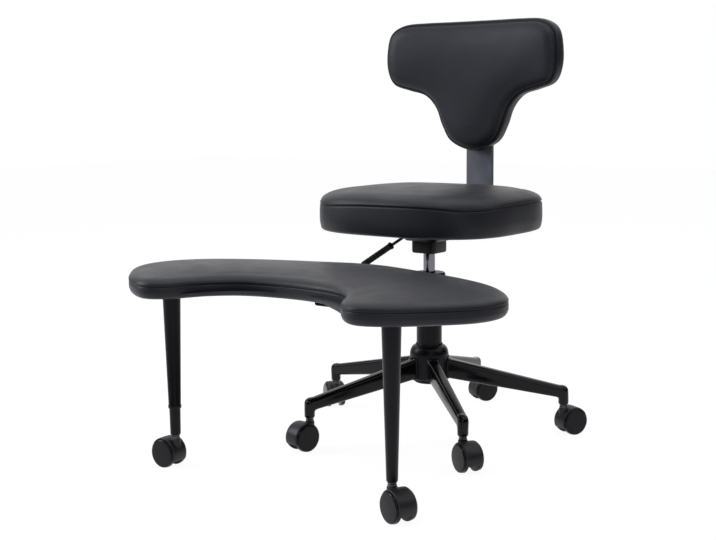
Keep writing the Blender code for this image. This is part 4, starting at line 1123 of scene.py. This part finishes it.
# %% Caster shapes
TRAIL = 0.018
AXLE_HEIGHT = 0.025802
HOOD_OUT, HOOD_IN = 0.0285, 0.0271
HOOD_START, HOOD_END, HOOD_STEPS = -20.0, 205.0, 48
WEB_HALF = 0.00625
BOSS_RADIUS, BOSS_TOP = 0.0088, 0.053002
WHEEL_RADIUS, DISC_RADIUS = 0.0262, 0.0227
DISC_EDGE, DISC_DOME = 0.0029, 0.0007
UPRIGHT = Matrix.Translation((TRAIL, 0, AXLE_HEIGHT)) @ Matrix.Rotation(math.pi / 2, 4, "X")
HOOD_HALF_SECTION = (
    # distance from the middle along the axle, distance from the axle
    (0.0000, HOOD_OUT + 0.0004), (0.0085, HOOD_OUT + 0.0003), (0.0135, HOOD_OUT), (0.0154, HOOD_OUT - 0.0003),
    (0.0163, HOOD_OUT - 0.0009), (0.0168, HOOD_OUT - 0.0017),
    # thickened edge
    (0.0168, 0.0267), (0.0166, 0.0264), (0.0161, 0.0263), (0.0156, 0.0265), (0.0154, 0.0268),
    # inside
    (0.0149, HOOD_IN - 0.0001), (0.0142, HOOD_IN), (0.0100, HOOD_IN),
)


def combine(bm, tool, operation):
    """Boolean of two meshes, exact, as a new mesh."""
    holders = []
    for name, content in (("work", bm), ("tool", tool)):
        mesh = bpy.data.meshes.new(name)
        content.to_mesh(mesh)
        content.free()
        holder = bpy.data.objects.new(name, mesh)
        scene.collection.objects.link(holder)
        holders.append(holder)
    boolean = holders[0].modifiers.new("join", "BOOLEAN")
    boolean.operation, boolean.solver, boolean.object = operation, "EXACT", holders[1]
    result = bmesh.new()
    made = holders[0].evaluated_get(bpy.context.evaluated_depsgraph_get())
    result.from_mesh(made.data)
    for holder in holders:
        mesh = holder.data
        bpy.data.objects.remove(holder)
        bpy.data.meshes.remove(mesh)
    return result


def hood_shell():
    """The hood's section, pulled round the axle."""
    other_half = [(-axial, radial) for axial, radial in reversed(HOOD_HALF_SECTION) if axial > 0]
    section = [*HOOD_HALF_SECTION, *other_half]
    rings = []
    for step in range(HOOD_STEPS + 1):
        angle = math.radians(HOOD_START + (HOOD_END - HOOD_START) * step / HOOD_STEPS)
        rings.append([UPRIGHT @ Vector((radial * math.cos(angle), radial * math.sin(angle), axial))
                      for axial, radial in section])
    return soften(pull_rings(rings), 0.0003, 60)


def disc_part(radius, half, start=None, end=None, steps=48):
    """A flat disc about the axle, or the part of one between two angles."""
    angles = [math.tau * step / steps for step in range(steps)] if start is None else [
        math.radians(start + (end - start) * step / steps) for step in range(steps + 1)]
    return pull_rings([[UPRIGHT @ Vector((radius * math.cos(angle), radius * math.sin(angle), side * half))
                        for angle in angles] for side in (-1, 1)])


def hood_mesh():
    """Shell, web and boss in one closed moulding."""
    web = soften(disc_part((HOOD_OUT + HOOD_IN) / 2, WEB_HALF, HOOD_START, HOOD_END), 0.0006, 60)
    boss = turn_profile([(0.0, AXLE_HEIGHT), (BOSS_RADIUS, AXLE_HEIGHT), (BOSS_RADIUS, BOSS_TOP - 0.001),
                         (BOSS_RADIUS - 0.001, BOSS_TOP), (0.0, BOSS_TOP)], steps=32)
    boss = combine(boss, disc_part((HOOD_OUT + HOOD_IN) / 2, 0.0195), "DIFFERENCE")
    hood = combine(combine(hood_shell(), web, "UNION"), boss, "UNION")
    hole, hole_floor, clear = 0.0043, BOSS_TOP - 0.0093, BOSS_TOP + 0.01
    stem_room = turn_profile([(0.0, hole_floor), (hole, hole_floor), (hole, clear), (0.0, clear)], steps=24)
    return combine(hood, stem_room, "DIFFERENCE")


def stem_mesh():
    """Tail in the boss, a neck with a fine groove, and the pin in the socket."""
    ring, pin, tail, tail_end = 0.0078, 0.0055, 0.004, BOSS_TOP - 0.009
    low, top = BOSS_TOP + FIT, CASTER_TOP - FIT
    third = (top - BOSS_TOP - FIT) / 3
    return turn_profile([(0.0, tail_end), (tail, tail_end), (tail, low), (ring - 0.0005, low),
                         (ring, BOSS_TOP + 0.0008), (ring, top - 2 * third - 0.0005),
                         (ring - 0.0005, top - 2 * third), (ring - 0.0008, top - 1.8 * third),
                         (ring - 0.0008, top - 1.2 * third), (ring - 0.0005, top - third),
                         (ring, top - third + 0.0005), (ring, top - 0.0005), (ring - 0.0005, top), (pin, top),
                         (pin, top + 0.021), (pin - 0.001, top + 0.022), (0.0, top + 0.022)], steps=40)


def wheel_mesh():
    """Bored hub, inner face, narrow tread, and a rounded disc that stands out of the hood."""
    back, bore, inner, reach = WEB_HALF + FIT, 0.0036, 0.0104, 0.0172
    bore_end = back + 0.0088
    hub = [(0.0, bore_end), (bore, bore_end), (bore, back), (0.0090, back), (0.0096, back + 0.0006),
           (0.0100, inner)]
    tread = [(0.0249, inner), (0.0258, inner + 0.0003), (WHEEL_RADIUS, inner + 0.0012),
             (WHEEL_RADIUS, 0.0140), (0.0260, 0.0145), (0.0256, 0.0150)]
    dome = [(radius, reach + DISC_EDGE + DISC_DOME * (1 - (radius / DISC_RADIUS) ** 2))
            for radius in (0.0222, 0.0165, 0.011, 0.0055, 0.0)]
    return turn_profile([*hub, *tread, *quarter((DISC_RADIUS, reach), DISC_EDGE, 0, 84, 7), *dome], steps=72)


hood, stem, wheel = hood_mesh(), stem_mesh(), wheel_mesh()
print("caster shapes", len(hood.faces), len(stem.faces), len(wheel.faces), "faces")

# %% [markdown]
# Seven casters stand in seven directions, as they came to rest when the chair was pushed into place. The
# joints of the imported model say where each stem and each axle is, so one set of shapes is copied into all
# seven places.

# %% Casters in place
CASTERS = [f"base_{number}" for number in range(1, ARM_COUNT + 1)] + ["rest_left", "rest_right"]
for caster in CASTERS:
    spot = Vector(joints[f"caster_{caster}_swivel"]["pos_m"])
    centre = Vector(joints[f"wheel_{caster}_a_spin"]["pos_m"])
    trail = Matrix.Rotation(math.atan2(centre.y - spot.y, centre.x - spot.x), 4, "Z")
    body = f"caster_{caster}"
    under = Matrix.Translation((spot.x, spot.y, 0)) @ trail
    dress(f"{body}_moulding", copy_placed(hood, under), hood_nylon, body,
          (f"{body}_hood",), 35)
    dress(f"{body}_pin", copy_placed(stem, under), burnished, body, (f"{body}_stem",))
    middle = Matrix.Translation((under @ Vector((TRAIL, 0, AXLE_HEIGHT)))) @ trail
    for side, tilt in (("a", -1), ("b", 1)):
        place = middle @ Matrix.Rotation(tilt * math.pi / 2, 4, "X")
        dress(f"{body}_disc_{side}", copy_placed(wheel, place), wheel_nylon, f"wheel_{caster}_{side}",
              (f"{body}_wheel_{side}",), 35)
for shape in (hood, stem, wheel):
    shape.free()
print("casters", len(CASTERS))

# %% [markdown]
# Under the seat a pressed steel plate carries a pan and a box that takes the top of the rod. The lever
# comes out through a slot in the pan, so the slot is cut for real and the lever can move in it.

# %% Seat mechanism and lever
MECHANISM_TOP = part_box("seat_mechanism")[1].z
MECHANISM_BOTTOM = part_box("seat_mechanism")[0].z
PLATE_BOTTOM = MECHANISM_TOP - 0.003
PAN_BOTTOM = MECHANISM_BOTTOM + 0.0247
LEVER_PIVOT = joints["lever_lift"]["pos_m"]
LEVER_DROP, LEVER_SIDE = math.radians(34), math.radians(12)
LEVER_BEND, GRIP_START, ROD_IN_GRIP = 0.041, 0.080, 0.050
LEVER_FRAME = Matrix.Translation((0, 0, LEVER_PIVOT[2])) @ Matrix.Rotation(math.pi + LEVER_SIDE, 4, "Z")
SLOT_BACK, SLOT_FRONT, SLOT_HALF, SLOT_DEPTH = -0.0046, 0.11, 0.006, 0.0145


def mechanism_mesh():
    """Box, pan and plate pulled from the bottom up, then bored and slotted."""
    stations = ((MECHANISM_BOTTOM, 0.046, 0.045, 0.005), (MECHANISM_BOTTOM + 0.0012, 0.0517, 0.0507, 0.0078),
                (MECHANISM_BOTTOM + 0.004, 0.054, 0.053, 0.009), (PAN_BOTTOM, 0.054, 0.053, 0.009),
                (PAN_BOTTOM, 0.072, 0.066, 0.0085), (PAN_BOTTOM + 0.001, 0.0745, 0.0685, 0.0092),
                (PLATE_BOTTOM - 0.0015, 0.1075, 0.0975, 0.019), (PLATE_BOTTOM, 0.112, 0.102, 0.02),
                (PLATE_BOTTOM, 0.1692, 0.1992, 0.0196), (PLATE_BOTTOM + 0.0004, 0.17, 0.2, 0.02),
                (MECHANISM_TOP - 0.0004, 0.17, 0.2, 0.02), (MECHANISM_TOP, 0.1692, 0.1992, 0.0196))
    rings = [[Vector((*point, level)) for point in rounded_box(width, depth, corner, 6)]
             for level, width, depth, corner in stations]
    hole, below = ROD_RADIUS + RUNNING_FIT, MECHANISM_BOTTOM - 0.02
    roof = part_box("gas_rod")[1].z + RUNNING_FIT
    rod_room = turn_profile([(0, below), (hole, below), (hole, roof), (0, roof)])
    slot = ((SLOT_BACK, -SLOT_HALF), (SLOT_FRONT, -SLOT_HALF),
            (SLOT_FRONT, SLOT_HALF), (SLOT_BACK, SLOT_HALF))
    lever_room = pull_rings([[LEVER_FRAME @ Vector((x, y, rise)) for x, y in slot]
                             for rise in (-SLOT_DEPTH, PLATE_BOTTOM - FIT - LEVER_PIVOT[2])])
    return combine(combine(pull_rings(rings), rod_room, "DIFFERENCE"), lever_room, "DIFFERENCE")


def lever_point(reach):
    return Vector((reach, 0, -(reach - LEVER_BEND) * math.tan(LEVER_DROP)))


def lever_rings(radius=0.003, bend_radius=0.014, sides=20):
    """Level over the button, an even bend, then a straight slope into the grip."""
    back = bend_radius * math.tan(LEVER_DROP / 2)
    stations = [(Vector((0, 0, 0)), 0.0)]
    for step in range(9):
        turn = LEVER_DROP * step / 8
        stations.append((Vector((LEVER_BEND - back + bend_radius * math.sin(turn), 0,
                                 -bend_radius * (1 - math.cos(turn)))), turn))
    stations.append((lever_point(GRIP_START + ROD_IN_GRIP * math.cos(LEVER_DROP)), LEVER_DROP))
    rings = []
    for centre, turn in stations:
        up = Vector((math.sin(turn), 0, math.cos(turn)))
        rings.append([LEVER_FRAME @ (centre + Vector((0, radius * math.cos(angle), 0))
                                     + up * radius * math.sin(angle))
                      for angle in (math.tau * side / sides for side in range(sides))])
    return rings


def grip_mesh(radius=0.0063, length=0.079):
    """A round grip with a thick collar, shallow ribs and a rounded end."""
    ribs, dip = [], radius - 0.00035
    for number in range(6):
        start = 0.018 + number * 0.0075
        ribs += [(radius, start), (dip, start + 0.0006), (dip, start + 0.0016), (radius, start + 0.0022)]
    hole, hole_end = 0.0033, ROD_IN_GRIP + FIT
    profile = [(hole, 0.0), (radius * 1.12, 0.0), (radius * 1.18, 0.0006), (radius * 1.18, 0.0032),
               (radius * 1.08, 0.005), (radius, 0.0065), *ribs,
               *quarter((0.0, length - radius), radius, 0, 84, 7), (0.0, length), (0.0, hole_end),
               (hole, hole_end)]
    slope = Matrix.Rotation(math.pi / 2 + LEVER_DROP, 4, "Y")
    place = LEVER_FRAME @ Matrix.Translation(lever_point(GRIP_START)) @ slope
    return turn_profile(profile, place, 32, ring=True)


dress("pressed_plate", mechanism_mesh(), satin_black, "seat", ("seat_mechanism",), 30)
dress("lever", pull_rings(lever_rings()), satin_black, "lever", ("lever_rod",))
dress("lever_handle", grip_mesh(), grip_plastic, "lever", ("lever_grip",))
print("lever pivot", [round(value, 4) for value in LEVER_PIVOT])

# %% [markdown]
# The back stands on a flat bar, bent once under the seat. Bolts hold the bar to the plate, the back to the
# bar, the plate to the board and the carrying tube to the leg rest. Each bolt is a six-sided head with
# chamfered corners on a washer.

# %% Back bar and bolts
BAR_WIDTH, BAR_BEND = 0.062, 0.016
BAR_EDGE, BAR_END = 0.002, 0.0012
BAR_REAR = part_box("back_bar")[1].y
BAR_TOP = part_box("back_bar")[1].z
BAR_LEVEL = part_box("back_bar")[0].z + BAR_THICKNESS / 2


def bar_rings():
    """The bar's section along its path: level, bend, upright, and a slightly rounded top end."""
    upright = BAR_REAR - BAR_THICKNESS / 2
    path = [((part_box("back_bar")[0].y, BAR_LEVEL), 0.0, 0.0)]
    for step in range(13):
        angle = math.pi / 2 * step / 12
        place = (upright - BAR_BEND + BAR_BEND * math.sin(angle),
                 BAR_LEVEL + BAR_BEND - BAR_BEND * math.cos(angle))
        path.append((place, angle, 0.0))
    path += [((upright, BAR_TOP - BAR_END), math.pi / 2, 0.0), ((upright, BAR_TOP), math.pi / 2, BAR_END)]
    rings = []
    for (y, z), angle, less in path:
        up = Vector((0, -math.sin(angle), math.cos(angle)))
        section = rounded_box(BAR_WIDTH - 2 * less, BAR_THICKNESS - 2 * less, BAR_EDGE - less / 2, 4)
        rings.append([Vector((across, y, z)) + up * rise for across, rise in section])
    return rings


def bolt_mesh(radius=0.0065, height=0.0045):
    """Washer and hexagon head, standing on Z = 0."""
    sections = ((radius, 0.0012), (radius, height - 0.0008), (radius * 0.9, height))
    head = pull_rings([[Vector((reach * math.cos(turn), reach * math.sin(turn), level))
                        for turn in (math.tau * side / 6 for side in range(6))] for reach, level in sections])
    washer = turn_profile([(0.0, 0.0), (0.0088, 0.0), (0.0090, 0.0003), (0.0090, 0.0010), (0.0087, 0.0013),
                           (0.0, 0.0013)], steps=32)
    return combine(soften(head, 0.0003, 40), washer, "UNION")


def bolt_set(name, places, body):
    """Copies of the bolt in one piece."""
    whole = bmesh.new()
    for place in places:
        copy = copy_placed(bolt, place)
        mesh = bpy.data.meshes.new("bolt")
        copy.to_mesh(mesh)
        copy.free()
        whole.from_mesh(mesh)
        bpy.data.meshes.remove(mesh)
    dress(name, whole, plated, body, (), 30)


bolt = bolt_mesh()
facing_down, facing_back = Matrix.Rotation(math.pi, 4, "X"), Matrix.Rotation(-math.pi / 2, 4, "X")
dress("bar", pull_rings(bar_rings()), bar_grey, "seat", ("back_bar",), 30)
in_the_back = [Matrix.Translation((x, BAR_REAR, z)) @ facing_back
               for z in (0.600, 0.655) for x in (-0.015, 0.015)]
in_the_plate = [Matrix.Translation((x, 0.078, BAR_LEVEL - BAR_THICKNESS / 2)) @ facing_down
                for x in (-0.017, 0.017)]
bolt_set("bar_bolts", in_the_back + in_the_plate, "seat")
bolt_set("plate_bolts", [Matrix.Translation((x, y, PLATE_BOTTOM)) @ facing_down for x in (-0.070, 0.070)
                         for y in (-0.083, 0.083)], "seat")
bolt_set("carrier_bolts", [Matrix.Translation((0, y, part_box("carrier_arm")[0].z)) @ facing_down
                           for y in (-0.185, -0.24)], "leg_rest")
bolt.free()
print("bar", round(BAR_TOP, 4), "m high")

# %% [markdown]
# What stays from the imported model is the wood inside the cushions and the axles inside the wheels. They
# only need their finish: stained plywood and plated steel.

# %% Boards and axles
for name, node in frame["nodes"].items():
    finish = board_wood if name.endswith("_board") else plated if name.endswith("_axle") else None
    if finish:
        node.data.materials.clear()
        node.data.materials.append(finish)
print("boards and axles finished")
